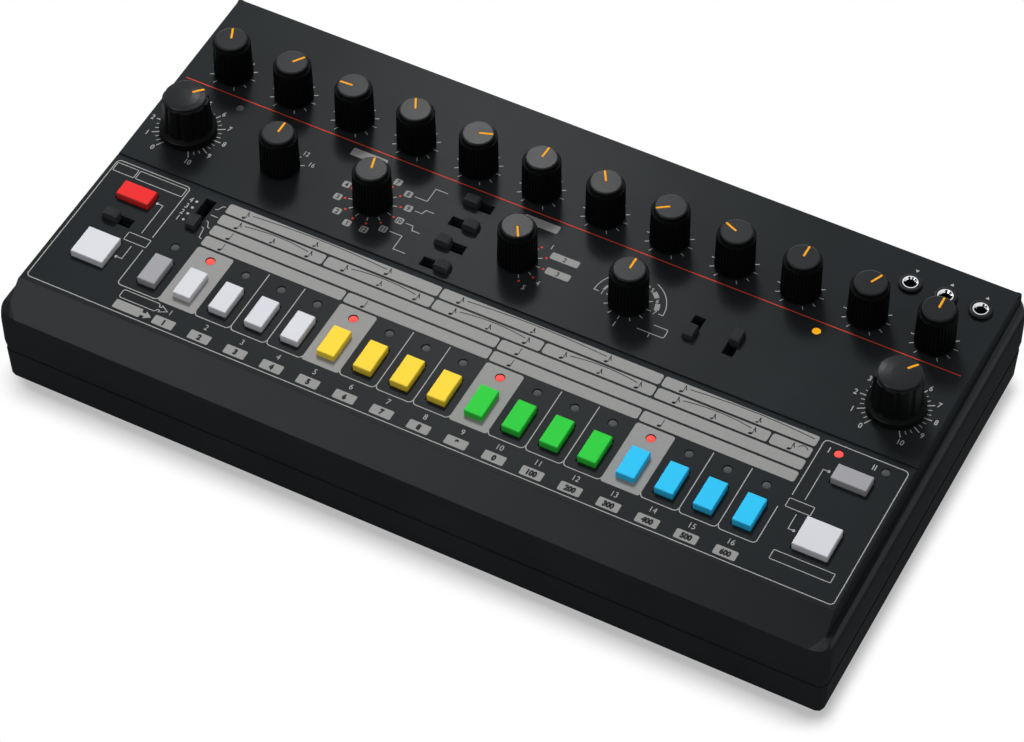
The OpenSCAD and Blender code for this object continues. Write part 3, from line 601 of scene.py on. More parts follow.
grey_ink = screen_ink("grey_ink", GREY_INK)
grey_areas = []
for pad in PAD_STEPS:
    grey_areas += [pad_half(pad, -90), pad_half(pad, 90)]
for low, top, columns in BAR_ROWS:
    for first in range(0, 16, columns):
        end = min(first + columns, 16)
        right = step_x(end + 0.5) + (BAR_END if end == 16 else -BAR_GAP)
        grey_areas.append(tablet(step_x(first + 0.5) - PAD_EDGE, low, right, top, BAR_R))
for n in range(1, 17):
    grey_areas.append(tablet(step_x(n) - BOX_HALF, BOX_LOW, step_x(n) + BOX_HALF, BOX_TOP, BOX_R))
grey_areas.append(tablet(*ARROW_TAIL, BOX_R))
grey_areas.append(ARROW_HEAD)
printed("grey_areas", grey_areas, grey_ink)


# ---- Print on the bars: notes ----
# The deck's own black shows where the grey is left open: notes that give each row its length,
# and the figures in the small boxes. Here they are a second, black ink over the grey.

BLACK_INK = "#242526"
HEAD_W, HEAD_H = 0.72, 0.48
STEM_W = 0.24
STEM_RISE = 3.1
HEAD_TILT = 20
FLAG = ((0.3, -1.0), (0.9, -2.0))
FLAG_W = 0.312
SMALL_NOTE, SMALL_DROP = 0.72, 0.2
NOTE_ROWS = (67.9, 62.5, 57.1, 51.7)
TIE_ROWS = (69.9, 64.6)
TIE_RISE = 1.1
TIE_W = 0.3
TIE_STARTS = (2.5, 2.4)
TIE_END, LAST_TIE_END = 0.5, 1.0
BLACK_LIFT = 0.02
BOX_FIGURE_H = 2.5
BOX_FIGURE_WEIGHT = 0.07
BOX_FIGURES = [str(n % 10) for n in range(1, 11)] + [str(n * 100) for n in range(1, 7)]


def figure(text, x, y, height, width=0.86, weight=0.0):
    """Flat shapes of a number, centred on a point, in the plain upright letter of the print."""
    curve = bpy.data.curves.new("figure", "FONT")
    curve.body = text
    curve.size = 1
    curve.offset = weight
    curve.resolution_u = 3
    holder = bpy.data.objects.new("figure", curve)
    bpy.context.scene.collection.objects.link(holder)
    drawn = bpy.data.meshes.new_from_object(holder.evaluated_get(bpy.context.evaluated_depsgraph_get()))
    xs = [v.co.x for v in drawn.vertices]
    ys = [v.co.y for v in drawn.vertices]
    grow = height / (max(ys) - min(ys))
    mid_x, mid_y = (min(xs) + max(xs)) / 2, (min(ys) + max(ys)) / 2
    shapes = []
    for face in drawn.polygons:
        corners = [drawn.vertices[i].co for i in face.vertices]
        shapes.append([(x + (c.x - mid_x) * grow * width, y + (c.y - mid_y) * grow) for c in corners])
    bpy.data.objects.remove(holder)
    bpy.data.curves.remove(curve)
    bpy.data.meshes.remove(drawn)
    return shapes


def note(x, y, flag, size=1.0):
    """A note: tilted oval head, stem and, on short notes, a flag."""
    cos, sin = math.cos(math.radians(HEAD_TILT)), math.sin(math.radians(HEAD_TILT))
    head = []
    for u, v in disc(0, 0, size, 14):
        u, v = u * HEAD_W, v * HEAD_H
        head.append((x + u * cos - v * sin, y + u * sin + v * cos))
    stem_x = x + HEAD_W * size - STEM_W / 2
    top = y + STEM_RISE * size
    shapes = [head] + line([(stem_x, y), (stem_x, top)], STEM_W)
    if flag:
        shapes += line([(stem_x, top)] + [(stem_x + across, top + down) for across, down in FLAG], FLAG_W)
    return shapes


def tie(x0, x1, y):
    """Shallow arch that joins the first and the last note of a group."""
    arch = [(x0 + (x1 - x0) * i / 12, y + TIE_RISE * (1 - (i / 6 - 1) ** 2)) for i in range(13)]
    return line(arch, TIE_W)


black_ink = screen_ink("black_ink", BLACK_INK)
marks = []
for first in (1, 7, 13):
    marks += note(step_x(first), NOTE_ROWS[0], True)
    marks += note(step_x(first + 2), NOTE_ROWS[0] - SMALL_DROP, True, SMALL_NOTE)
    tail = step_x(16.5) - LAST_TIE_END
    if first < 13:
        marks += note(step_x(first + 4), NOTE_ROWS[0], True)
        tail = step_x(first + 4) - TIE_END
    marks += tie(step_x(first) + TIE_STARTS[0], tail, TIE_ROWS[0])
for first in range(1, 17, 3):
    marks += note(step_x(first), NOTE_ROWS[1], True)
    tail = step_x(16.5) - LAST_TIE_END
    if first < 16:
        marks += note(step_x(first + 1), NOTE_ROWS[1] - SMALL_DROP, True, SMALL_NOTE)
        marks += note(step_x(first + 2), NOTE_ROWS[1], True)
        tail = step_x(first + 2) - TIE_END
    marks += tie(step_x(first) + TIE_STARTS[1], tail, TIE_ROWS[1])
for first in (1, 9):
    marks += note(step_x(first), NOTE_ROWS[2], False)
for first in PAD_STEPS:
    marks += note(step_x(first), NOTE_ROWS[3], False)
for n, text in enumerate(BOX_FIGURES, 1):
    marks += figure(text, step_x(n), (BOX_LOW + BOX_TOP) / 2, BOX_FIGURE_H, weight=BOX_FIGURE_WEIGHT)
printed("bar_marks", marks, black_ink, lift=BLACK_LIFT)


# ---- Print on the key panel: figures ----
# Plain white numbers in the same ink as the lines: one under each step key, four beside the
# long slot at the left, and I and II beside the two lamps at the right.

STEP_FIGURE_Y = 20.2
FIGURE_H = 2.25
THIN_WEIGHT = -0.005
SLOT_FIGURE_X, SLOT_DOT_X, SLOT_DOT_R = -115.8, -113.7, 0.5
SLOT_ROWS = (57.9, 60.9, 63.9, 66.9)
SLOT_BENDS = (
    [(-106.4, 66.8), (-105.5, 67.1), (-104.6, 69.0), (-103.7, 69.3)], [(-106.5, 63.9), (-103.7, 63.9)],
    [(-106.4, 61.0), (-105.5, 60.7), (-104.6, 58.6), (-103.7, 58.4)],
    [(-106.5, 57.9), (-105.5, 57.6), (-104.8, 53.4), (-103.7, 53.1)],
)
ROMAN_FIGURES = (("I", 121.0, 68.0), ("II", 136.8, 68.1))
ROMAN_H = 2.3

panel_figures = []
for n in range(1, 17):
    panel_figures += figure(str(n), step_x(n), STEP_FIGURE_Y, FIGURE_H, weight=THIN_WEIGHT)
for n, y in enumerate(SLOT_ROWS, 1):
    panel_figures += figure(str(n), SLOT_FIGURE_X, y, FIGURE_H)
    panel_figures.append(disc(SLOT_DOT_X, y, SLOT_DOT_R))
for bend in SLOT_BENDS:
    panel_figures += line(bend, THIN_W)
for text, x, y in ROMAN_FIGURES:
    panel_figures += figure(text, x, y, ROMAN_H, width=1.0)
printed("panel_figures", panel_figures, white_ink)


# ---- Print round the knobs ----
# White scale marks round every knob, in the same ink. The level knobs have eleven short marks,
# the two big knobs a long mark and a number at each tenth with two short marks between.

MARK_W, BIG_MARK_W, THIRD_MARK_W = 0.3, 0.36, 0.26
LEVEL_MARK = (6.9, 8.4)
BIG_MARK, THIRD_MARK = (9.9, 12.7), (10.3, 11.7)
BIG_FIGURE_REACH, TEN_REACH = 14.2, 14.7
BIG_FIGURE_H, BIG_FIGURE_WEIGHT = 2.2, 0.01
VARIATION_FIGURES = (("16", 30, 10.9), ("12", 60, 10.6))
VARIATION_FIGURE_H = 2.0
TENTH = 30
LAST_MARK = -60
LEVEL_KNOBS = [f"level_knob_{k}" for k in range(1, 13)]
BIG_KNOBS = ("tempo_knob", "volume_knob")


def spoke(centre, inner, outer, angle, width=MARK_W):
    """Straight mark that points at the middle of a dial."""
    return line([turned(*centre, inner, angle), turned(*centre, outer, angle)], width)


dial_marks = []
for name in LEVEL_KNOBS:
    for i in range(11):
        dial_marks += spoke(middle_of(name), *LEVEL_MARK, LAST_MARK + TENTH * i)
for name in BIG_KNOBS:
    centre = middle_of(name)
    for i in range(11):
        angle = LAST_MARK + TENTH * i
        figure_at = turned(*centre, BIG_FIGURE_REACH if i else TEN_REACH, angle)
        dial_marks += spoke(centre, *BIG_MARK, angle, BIG_MARK_W)
        dial_marks += figure(str(10 - i), *figure_at, BIG_FIGURE_H, weight=BIG_FIGURE_WEIGHT)
        if i < 10:
            dial_marks += spoke(centre, *THIRD_MARK, angle + TENTH / 3, THIRD_MARK_W)
            dial_marks += spoke(centre, *THIRD_MARK, angle + TENTH * 2 / 3, THIRD_MARK_W)
variation = middle_of("variation_knob")
for text, angle, reach in VARIATION_FIGURES:
    dial_marks += spoke(variation, *LEVEL_MARK, angle)
    dial_marks += figure(text, *turned(*variation, reach, angle), VARIATION_FIGURE_H)
printed("dial_marks", dial_marks, white_ink)


# ---- Print round the three selector knobs ----
# The dial of twelve has grey tablets with black figures and white wires to the slide switches;
# the dial of five has red dots; the last has a sector scale with plain numbers and two arcs.

RED_INK = "#d8452f"
TWELVE = (
    (-63.9, 82.0), (-69.5, 85.2), (-72.5, 91.0), (-72.5, 97.3), (-69.5, 103.0), (-63.9, 106.2),
    (-57.4, 106.2), (-51.7, 103.0), (-48.6, 97.3), (-48.6, 91.0), (-51.7, 85.2), (-57.4, 82.0),
)
TABLET_HALF, TABLET_R = 1.4, 0.6
TABLET_FIGURE_H, TWELVE_WEIGHT, FIVE_WEIGHT = 2.0, 0.03, 0.02
TWELVE_MARK, FIVE_MARK, FILL_MARK, FILL_LONG_MARK = (6.9, 8.5), (6.9, 8.4), (6.6, 8.2), (9.3, 11.6)
FIRST_OF_TWELVE, FIRST_OF_FIVE, FIRST_OF_FILL = -105, -60, -90
DOT_REACH, DOT_R = 9.7, 0.45
SWITCH_WIRES = (
    [(-49.3, 103.0), (-44.5, 103.0), (-44.5, 109.3), (-39.8, 109.3)],
    [(-46.1, 97.3), (-43.4, 97.3), (-42.9, 99.2), (-39.8, 99.2)],
    [(-46.1, 91.0), (-43.4, 91.0), (-42.8, 89.0), (-39.8, 89.0)],
    [(-49.3, 85.3), (-44.5, 85.3), (-44.5, 78.9), (-39.8, 78.9)],
)
FIVE_WHITE = (("1", 2.6, 104.2), ("4", 5.6, 87.8), ("5", 2.2, 83.9))
FIVE_WHITE_H = 2.1
FIVE_BLACK = (("2", 9.0, 100.9), ("3", 9.7, 94.2))
GREY_BOXES = (
    (3.8, 99.4, 14.2, 102.4), (5.3, 92.7, 14.2, 95.7), (-12.2, 110.0, 1.2, 113.5),
    (-78.5, 110.0, -65.1, 113.5),
)
FILL_FIGURE_REACH, FILL_FIGURE_H = 9.7, 1.8
FILL_WEDGES = ((166, 9.4, 10.2, 7), (76, 9.3, 10.3, 7), (46, 8.9, 10.6, 8), (15, 8.9, 10.6, 8))
RING_IN, RING_OUT = 11.0, 12.7
FILL_HOOK = [(47.9, 89.2), (53.2, 89.2), (53.2, 85.4), (43.6, 85.4)]
FILL_STUB = [(48.3, 85.4), (48.3, 83.6)]
HOOK_R = 0.7

instrument = middle_of("instrument_knob")
pattern = middle_of("pattern_knob")
fill = middle_of("fill_knob")
selector_lines = []
selector_tablets = []
selector_figures = []
selector_dots = []
for n, (x, y) in enumerate(TWELVE, 1):
    angle = FIRST_OF_TWELVE - TENTH * (n - 1)
    selector_lines += spoke(instrument, *TWELVE_MARK, angle)
    selector_dots.append(disc(*turned(*instrument, DOT_REACH, angle), DOT_R))
    corners = (x - TABLET_HALF, y - TABLET_HALF, x + TABLET_HALF, y + TABLET_HALF)
    selector_tablets.append(tablet(*corners, TABLET_R))
    selector_figures += figure(str(n), x, y, TABLET_FIGURE_H, weight=TWELVE_WEIGHT)
for wire in SWITCH_WIRES:
    selector_lines += line(wire, THIN_W)
for i in range(5):
    angle = FIRST_OF_FIVE + TENTH * i
    selector_lines += spoke(pattern, *FIVE_MARK, angle)
    selector_dots.append(disc(*turned(*pattern, DOT_REACH, angle), DOT_R))
for text, x, y in FIVE_WHITE:
    selector_lines += figure(text, x, y, FIVE_WHITE_H)
for text, x, y in FIVE_BLACK:
    selector_figures += figure(text, x, y, TABLET_FIGURE_H, weight=FIVE_WEIGHT)
for grey_box in GREY_BOXES:
    selector_tablets.append(tablet(*grey_box, TABLET_R))
for i in range(12):
    selector_lines += spoke(fill, *FILL_MARK, FIRST_OF_FILL + TENTH * i)
selector_lines += spoke(fill, *FILL_LONG_MARK, FIRST_OF_FILL)
for n in range(7):
    place = turned(*fill, FILL_FIGURE_REACH, 180 - TENTH * n)
    selector_lines += figure(str(n + 1), *place, FILL_FIGURE_H)
for middle, inner, outer, half in FILL_WEDGES:
    outer_edge = arc(*fill, outer, middle - half, middle + half, 5)
    inner_edge = arc(*fill, inner, middle + half, middle - half, 5)
    selector_tablets.append(outer_edge + inner_edge)
selector_lines += line([turned(*fill, RING_IN, 180)] + arc(*fill, RING_OUT, 180, 128, 14), THIN_W)
selector_lines += line([turned(*fill, RING_IN, 0)] + arc(*fill, RING_OUT, 0, 66, 16), THIN_W)
selector_lines += line(rounded(FILL_HOOK, HOOK_R), THIN_W)
selector_lines += line(FILL_STUB, THIN_W)
printed("selector_lines", selector_lines, white_ink)
printed("selector_tablets", selector_tablets, grey_ink)
printed("selector_figures", selector_figures, black_ink, lift=BLACK_LIFT)


# ---- Print: red line and jack marks ----
# A thin red line parts the level knobs from the row below, in the same red as the dots. Small
# white triangles by the three jacks on the deck point in for an input and out for an output.

RED_LINE = [(-146.9, 115.7), (146.2, 115.7)]
RED_LINE_W = 0.36
JACK_MARKS = (
    [(114.7, 151.3), (115.4, 150.1), (116.1, 151.3)],
    [(127.5, 150.1), (128.9, 150.1), (128.2, 151.3)],
    [(140.2, 150.1), (141.6, 150.1), (140.9, 151.3)],
)

red_ink = screen_ink("red_ink", RED_INK)
red_marks = selector_dots + line(RED_LINE, RED_LINE_W)
printed("red_marks", red_marks, red_ink)
printed("jack_marks", JACK_MARKS, white_ink)


# ---- Lamps ----
# Three-millimetre diffused lamps that stand through the deck on black spacers. Five glow red
# and one glows amber; the others are off and show their milky grey lenses.

LENS_OFF = "#515354"
LIT_RED = "#f94f49"
LIT_AMBER = "#ffae1a"
SPACER_BLACK = "#1a1b1c"
LENS_ROUGHNESS, LENS_GLINT, GLOW = 0.5, 0.05, 0.6
LENS_PITCH, LENS_DEPTH = 0.001, 0.000002
CLOUD_SCALE, CLOUD_SPREAD = 600, 0.08
SPACER_ROUGHNESS = 0.6
SPACER_H = 0.006
LAMP_RING = 2.2
RED_LAMPS = [(step_x(n), LAMP_ROW_Y) for n in PAD_STEPS] + [(124.35, 68.0)]
AMBER_LAMPS = [(96.4, 111.7)]


def glowing(name, code):
    """Diffused lens lit from inside, brightest in the middle of the dome."""
    lens = bpy.data.materials.new(name)
    lens.use_nodes = True
    nodes = lens.node_tree.nodes
    links = lens.node_tree.links
    shader = nodes["Principled BSDF"]
    shader.inputs["Base Color"].default_value = shade(code)
    shader.inputs["Roughness"].default_value = LENS_ROUGHNESS
    shader.inputs["Specular IOR Level"].default_value = LENS_GLINT
    shader.inputs["Emission Strength"].default_value = GLOW
    place = nodes.new("ShaderNodeTexCoord")
    cloud = nodes.new("ShaderNodeTexNoise")
    cloud.inputs["Scale"].default_value = CLOUD_SCALE
    tone = nodes.new("ShaderNodeValToRGB")
    base = shade(code)
    tone.color_ramp.elements[0].color = (*[c * (1 - CLOUD_SPREAD) for c in base[:3]], 1)
    tone.color_ramp.elements[1].color = base
    links.new(place.outputs["Object"], cloud.inputs["Vector"])
    links.new(cloud.outputs["Fac"], tone.inputs["Fac"])
    links.new(tone.outputs["Color"], shader.inputs["Emission Color"])
    return lens


lens_off = moulded(
    "lens_off", LENS_OFF, LENS_ROUGHNESS, specular=LENS_GLINT, pitch=LENS_PITCH, depth=LENS_DEPTH
)
lens_red = glowing("lens_red", LIT_RED)
lens_amber = glowing("lens_amber", LIT_AMBER)
spacer = moulded("lamp_spacer", SPACER_BLACK, SPACER_ROUGHNESS)
spacer_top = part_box("leds")[0].z + SPACER_H
for face in dress("leds", lens_off, lens_red, lens_amber, spacer).polygons:
    x, y = face.center.x * 1000, face.center.y * 1000 - front_y
    if any(math.hypot(x - a, y - b) < LAMP_RING for a, b in RED_LAMPS):
        face.material_index = 1
    if any(math.hypot(x - a, y - b) < LAMP_RING for a, b in AMBER_LAMPS):
        face.material_index = 2
    if face.center.z < spacer_top:
        face.material_index = 3


# ---- Keys ----
# Solid ABS caps, each moulded in its own colour with a bevel round a flat satin top. They ride
# on tact switches: four white, four yellow, four green and four blue steps, and five others.

KEY_COLOURS = {
    "white": "#d9dae0", "grey": "#a2a2a6", "red": "#ea3232",
    "yellow": "#fbda42", "green": "#33cf44", "blue": "#34c8fb",
}
STEP_COLOURS = ("white", "yellow", "green", "blue")
OTHER_KEYS = {
    "cancel_key": "grey", "clear_key": "red", "start_key": "white", "pattern_key": "grey",
    "tap_key": "white",
}
KEY_ROUGHNESS = 0.42
KEY_GLINT = 0.03
KEY_PITS, KEY_DEPTH = 0.0005, 0.000006
KEY_EDGE = 0.00025
KEY_FLOW = 0.02

key_plastic = {}
for colour, code in KEY_COLOURS.items():
    key_plastic[colour] = moulded(
        f"key_{colour}", code, KEY_ROUGHNESS, specular=KEY_GLINT, pitch=KEY_PITS, depth=KEY_DEPTH,
        edge=KEY_EDGE, flow=KEY_FLOW,
    )
for n in range(1, 17):
    dress(f"step_key_{n}", key_plastic[STEP_COLOURS[(n - 1) // 4]])
for name, colour in OTHER_KEYS.items():
    dress(name, key_plastic[colour])


# ---- Slide switch levers ----
# Grey grips with five ridges across their tops, moulded with the stem that reaches down through
# the slot into the switch body.

LEVER_GREY = "#38393b"
LEVER_ROUGHNESS = 0.5
LEVER_GLINT = 0.03
LEVER_EDGE = 0.00015
VOICE_SWITCHES = [f"voice_switch_{n}" for n in range(1, 5)]

lever_plastic = moulded("lever_plastic", LEVER_GREY, LEVER_ROUGHNESS, specular=LEVER_GLINT, edge=LEVER_EDGE)
for name in (*VOICE_SWITCHES, "fade_in_switch", "fade_out_switch", "scale_switch", "auto_switch"):
    dress(name, lever_plastic)


# ---- Small knobs ----
# Black ABS knobs with thirty-six ribs and a raised satin cap, pushed onto the flatted shafts.
# The pointer is a groove in the cap that is filled with orange paint.

# Painted light: the cap grey is lighter than the ribs' black although the knob is one black ABS, standing in for
# the light its top catches; the satin finish of the cap is its own.
KNOB_BLACK = "#0e0f10"
CAP_GREY_PAINTED_LIGHT = "#27282a"
SHAFT_STEEL = "#c8cacc"
POINTER_ORANGE = "#f7a722"
RIB_ROUGHNESS, RIB_GLINT, RIB_EDGE = 0.45, 0.03, 0.00012
CAP_ROUGHNESS, CAP_GLINT, CAP_DEPTH, CAP_EDGE = 0.26, 0.045, 0.000004, 0.0002
SHAFT_ROUGHNESS = 0.3
PAINT_ROUGHNESS = 0.45
CAP_RISE = 1.75
CAP_R = 5.4
POINTER_IN, POINTER_OUT = 0.15, 5.15
POINTER_W = 0.76
POINTER_BELOW, POINTER_ROOT, POINTER_CROWN = 0.06, 0.15, 0.06
POINTER_STEPS = 8
END_ANGLES = (0.35, 0.75, 1.15)
ABOVE_DOME = 0.01
CROWN_SHARE = 0.75
FIRST_MARKS = {"variation_knob": 30, "instrument_knob": -75, "pattern_knob": -60, "fill_knob": -90}

rib_plastic = moulded("knob_plastic", KNOB_BLACK, RIB_ROUGHNESS, specular=RIB_GLINT, edge=RIB_EDGE)
cap_plastic_painted_light = moulded(
    "knob_cap_painted_light", CAP_GREY_PAINTED_LIGHT, CAP_ROUGHNESS, specular=CAP_GLINT, depth=CAP_DEPTH, edge=CAP_EDGE
)
shaft_metal = metal("shaft_metal", SHAFT_STEEL, SHAFT_ROUGHNESS)
pointer_paint = screen_ink("pointer_paint", POINTER_ORANGE, PAINT_ROUGHNESS)
turn_of = {joint["child"]: joint["range_deg"] for joint in frame["joints"] if joint["type"] == "hinge"}


def pointer_bar(knob, inner, outer, width, top, sink, crown, on_dome=False):
    """Bar of paint with round ends that lies along the knob's pointer, or over its dome."""
    centre = Vector(middle_of(knob))
    angle = math.radians(FIRST_MARKS.get(knob, LAST_MARK) - turn_of[knob][0])
    radius = width / 2
    near_end = [(inner + radius - radius * math.cos(t), radius * math.sin(t)) for t in END_ANGLES]
    run = (outer - inner - width) / POINTER_STEPS
    straight = [(inner + radius + run * i, radius) for i in range(POINTER_STEPS + 1)]
    far_end = [(inner + outer - u, half) for u, half in reversed(near_end)]
    bar = bmesh.new()
    loops = []
    for u, half in near_end + straight + far_end:
        flat = half * CROWN_SHARE
        rise = [(half, -sink), (half, crown / 2), (flat, crown)]
        loop = []
        for v, height in [(-v, height) for v, height in rise] + rise[::-1]:
            x = centre.x + u * math.cos(angle) - v * math.sin(angle)
            y = centre.y + u * math.sin(angle) + v * math.cos(angle)
            place = Vector((x / 1000, (front_y + y) / 1000, top))
            if on_dome:
                place = frame["nodes"][knob].ray_cast(place + Vector((0, 0, ABOVE_DOME)), (0, 0, -1))[1]
            loop.append(bar.verts.new(place + Vector((0, 0, height / 1000))))
        loops.append(loop)
    for near, far in zip(loops, loops[1:]):
        for i, start in enumerate(near):
            j = (i + 1) % len(near)
            bar.faces.new((start, near[j], far[j], far[i]))
    bar.faces.new(loops[0][::-1])
    bar.faces.new(loops[-1])
    bmesh.ops.recalc_face_normals(bar, faces=bar.faces[:])
    mesh = bpy.data.meshes.new(f"{knob}_pointer")
    bar.to_mesh(mesh)
    bar.free()
    mesh.materials.append(pointer_paint)
    piece = bpy.data.objects.new(f"{knob}_pointer", mesh)
    bpy.context.scene.collection.objects.link(piece)
    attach(piece, knob)


for name in LEVEL_KNOBS + list(FIRST_MARKS):
    mesh = dress(name, rib_plastic, cap_plastic_painted_light, shaft_metal)
    low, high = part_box(name)
    middle = (low + high) / 2
    for face in mesh.polygons:
        reach = math.hypot(face.center.x - middle.x, face.center.y - middle.y) * 1000
        # Painted light: the faces of the cap take the lighter grey.
        if face.center.z > high.z - CAP_RISE / 1000 and reach < CAP_R:
            face.material_index = 1
        if face.center.z < deck_z / 1000:
            face.material_index = 2
    paint_top = high.z - POINTER_BELOW / 1000
    pointer_bar(name, POINTER_IN, POINTER_OUT, POINTER_W, paint_top, POINTER_ROOT, POINTER_CROWN)


# ---- Big knobs ----
# The tempo and volume knobs: a flat skirt, a body with fourteen scallops to grip and a shallow
# domed cap, moulded in the same black ABS, with the pointer painted on the dome.

BIG_CAP_H = 2.3
DOME_UPWARD = 0.3
BIG_POINTER_IN, BIG_POINTER_OUT = 2.7, 7.1
BIG_POINTER_W = 0.8
BIG_POINTER_ROOT, BIG_POINTER_CROWN = 0.1, 0.04

for name in BIG_KNOBS:
    mesh = dress(name, rib_plastic, cap_plastic_painted_light, shaft_metal)
    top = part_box(name)[1].z
    for face in mesh.polygons:
        # Painted light: the faces of the dome that look upward take the lighter cap grey.
        if face.center.z > top - BIG_CAP_H / 1000 and face.normal.z > DOME_UPWARD:
            face.material_index = 1
        if face.center.z < deck_z / 1000:
            face.material_index = 2
    pointer_bar(
        name, BIG_POINTER_IN, BIG_POINTER_OUT, BIG_POINTER_W, top, BIG_POINTER_ROOT, BIG_POINTER_CROWN,
        on_dome=True,
    )


# ---- Jack sockets on the deck and at the rear ----
# Board-mounted jacks. The three on the deck have bright chrome bushes, each held by a round
# black nut with slots for a driver; the rear ones are plain black noses.

CHROME = "#dcdee0"
CHROME_ROUGHNESS = 0.12
NUT_BLACK = "#18191b"
NUT_ROUGHNESS, NUT_GLINT, NUT_EDGE = 0.4, 0.12, 0.0003
BUSH_R, BUSH_DEEP = 2.72, 6
NUT_R, NUT_DEEP = 5, 0.1

top_jacks = [m["pos_m"] for m in frame["record"]["mounts"] if m["name"].startswith("top_jack")]
chrome = metal("chrome_bush", CHROME, CHROME_ROUGHNESS)
nut_plastic = moulded("jack_nut", NUT_BLACK, NUT_ROUGHNESS, specular=NUT_GLINT, edge=NUT_EDGE)
for face in dress("jack_sockets", socket_plastic, chrome, nut_plastic).polygons:
    reach = min(math.hypot(face.center.x - x, face.center.y - y) for x, y, z in top_jacks) * 1000
    if face.center.z > (deck_z - BUSH_DEEP) / 1000 and reach < BUSH_R:
        face.material_index = 1
    elif face.center.z > (deck_z - NUT_DEEP) / 1000 and reach < NUT_R:
        face.material_index = 2


# ---- Studio ----
# A pale table that shows white, with only a narrow painted shadow where the case stands close over it.
# One soft lamp hangs behind to the left, two more only show as sheen, and the room fills in.

FLOOR_SIZE = 6.0
CAMERA_PLACE = (0.382219, -0.724083, 0.993575)
CAMERA_TURN = (27.942773, 90 - 50.314595, -0.352356)
LENS_MM, SENSOR_MM = 132.563287, 36
SHIFT = (0.0040208, -0.00057874)
SOFT_LAMP = ((-0.48, 0.80, 1.10), 0.42, 16.5)
SHEEN_LAMPS = (((-0.48, 0.88, 1.10), 0.18, 6.0), ((-0.66, -1.12, 0.82), 0.9, 38.0))
ROOM_LEVEL = 0.42
FLOOR_GREY = 0.35
SHADOW_GREY = 0.46
SHADOW_REACH = {"front": 0.0115, "right": 0.0078}
SHADOW_FULL = {"front": 0.5, "right": 0.72}
SHADOW_NONE = {"front": 0.95, "right": 0.96}
SIDE_BLEND = 0.012


def seen_directly(tree):
    """One for what the camera sees, straight or through a mirror or glass; zero for scattered light."""
    rays = tree.nodes.new("ShaderNodeLightPath")
    value = rays.outputs["Is Camera Ray"]
    for kind in ("Is Glossy Ray", "Is Transmission Ray"):
        either = tree.nodes.new("ShaderNodeMath")
        either.operation = "MAXIMUM"
        tree.links.new(value, either.inputs[0])
        tree.links.new(rays.outputs[kind], either.inputs[1])
        value = either.outputs["Value"]
    return value


floor_paint = bpy.data.materials.new("floor_paint")
floor_paint.use_nodes = True
nodes = floor_paint.node_tree.nodes
links = floor_paint.node_tree.links
nodes.remove(nodes["Principled BSDF"])
lit = nodes.new("ShaderNodeBsdfDiffuse")
lit.inputs["Color"].default_value = (FLOOR_GREY, FLOOR_GREY, FLOOR_GREY, 1)
# Painted shadow: the white that the camera sees darkens to SHADOW_GREY where ambient occlusion finds the case
# close by, narrower along the right side than at the front.
cover = nodes.new("ShaderNodeAmbientOcclusion")
cover.samples = 16
spot = nodes.new("ShaderNodeNewGeometry")
across = nodes.new("ShaderNodeSeparateXYZ")
links.new(spot.outputs["Position"], across.inputs["Vector"])
fade = nodes.new("ShaderNodeMapRange")
fade.inputs["To Min"].default_value = SHADOW_GREY
fade.inputs["To Max"].default_value = 1.0
for values, socket in (
    (SHADOW_REACH, cover.inputs["Distance"]),
    (SHADOW_FULL, fade.inputs["From Min"]),
    (SHADOW_NONE, fade.inputs["From Max"]),
):
    by_side = nodes.new("ShaderNodeMapRange")
    by_side.inputs["From Min"].default_value = HALF_W / 1000 - SIDE_BLEND
    by_side.inputs["From Max"].default_value = HALF_W / 1000
    by_side.inputs["To Min"].default_value = values["front"]
    by_side.inputs["To Max"].default_value = values["right"]
    links.new(across.outputs["X"], by_side.inputs["Value"])
    links.new(by_side.outputs["Result"], socket)
painted_shadow = nodes.new("ShaderNodeEmission")
pick = nodes.new("ShaderNodeMixShader")
links.new(cover.outputs["AO"], fade.inputs["Value"])
links.new(fade.outputs["Result"], painted_shadow.inputs["Color"])
links.new(seen_directly(floor_paint.node_tree), pick.inputs["Fac"])
links.new(lit.outputs["BSDF"], pick.inputs[1])
links.new(painted_shadow.outputs["Emission"], pick.inputs[2])
links.new(pick.outputs["Shader"], nodes["Material Output"].inputs["Surface"])
sheet = bmesh.new()
bmesh.ops.create_grid(sheet, x_segments=1, y_segments=1, size=FLOOR_SIZE / 2)
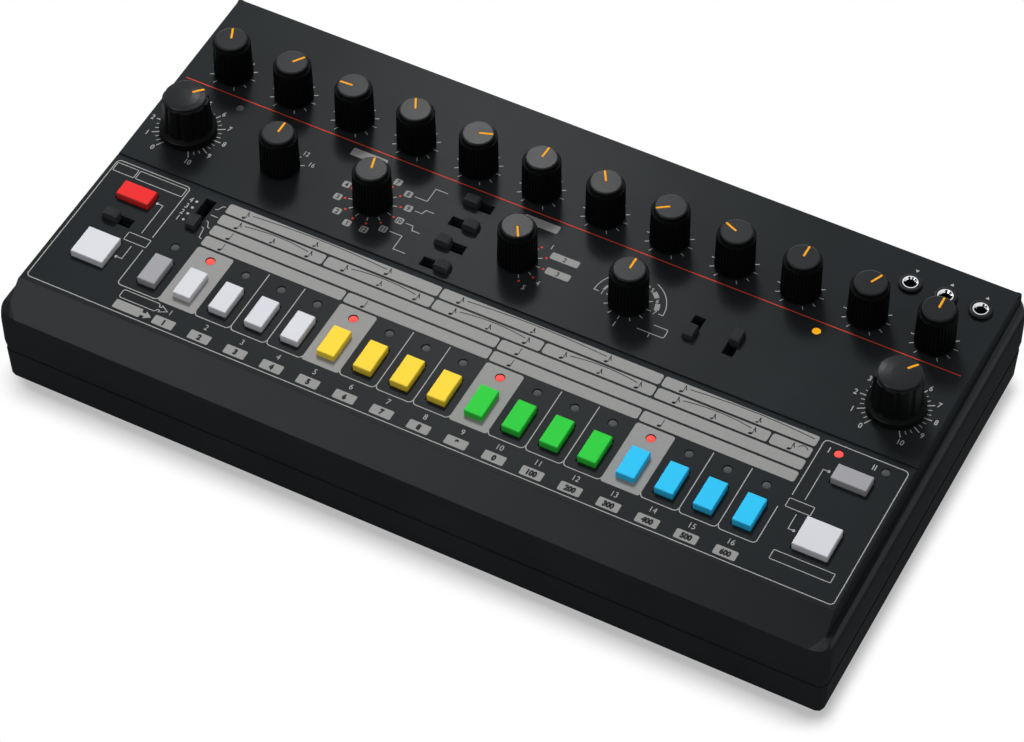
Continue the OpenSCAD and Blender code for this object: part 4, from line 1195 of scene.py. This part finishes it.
floor_mesh = bpy.data.meshes.new("floor")
sheet.to_mesh(floor_mesh)
sheet.free()
floor_mesh.materials.append(floor_paint)
floor = bpy.data.objects.new("floor", floor_mesh)
bpy.context.scene.collection.objects.link(floor)

room = bpy.data.worlds.new("room")
room.use_nodes = True
bpy.context.scene.world = room
nodes = room.node_tree.nodes
links = room.node_tree.links
nodes.clear()
bright = nodes.new("ShaderNodeBackground")
bright.inputs["Color"].default_value = (1, 1, 1, 1)
dim = nodes.new("ShaderNodeBackground")
dim.inputs["Color"].default_value = (ROOM_LEVEL, ROOM_LEVEL, ROOM_LEVEL, 1)
pick = nodes.new("ShaderNodeMixShader")
sky = nodes.new("ShaderNodeOutputWorld")
links.new(seen_directly(room.node_tree), pick.inputs["Fac"])
links.new(dim.outputs["Background"], pick.inputs[1])
links.new(bright.outputs["Background"], pick.inputs[2])
links.new(pick.outputs["Shader"], sky.inputs["Surface"])

for number, (place, size, power) in enumerate((SOFT_LAMP, *SHEEN_LAMPS)):
    light = bpy.data.lights.new(f"lamp_{number}", "AREA")
    light.shape = "DISK"
    light.size = size
    light.energy = power
    lamp = bpy.data.objects.new(f"lamp_{number}", light)
    lamp.location = place
    lamp.visible_glossy = number > 0
    lamp.visible_diffuse = number == 0
    lamp.rotation_euler = (-Vector(place)).to_track_quat("-Z", "Y").to_euler()
    bpy.context.scene.collection.objects.link(lamp)

camera = bpy.data.objects.new("camera", bpy.data.cameras.new("camera"))
turn, tip, roll = (math.radians(a) for a in CAMERA_TURN)
camera.matrix_world = (
    Matrix.Translation(CAMERA_PLACE) @ Matrix.Rotation(turn, 4, "Z") @ Matrix.Rotation(tip, 4, "X")
    @ Matrix.Rotation(roll, 4, "Z")
)
camera.data.lens = LENS_MM
camera.data.sensor_width = SENSOR_MM
camera.data.shift_x, camera.data.shift_y = SHIFT
bpy.context.scene.collection.objects.link(camera)
bpy.context.scene.camera = camera
bpy.context.scene.view_settings.view_transform = "Standard"

bpy.context.view_layer.update()
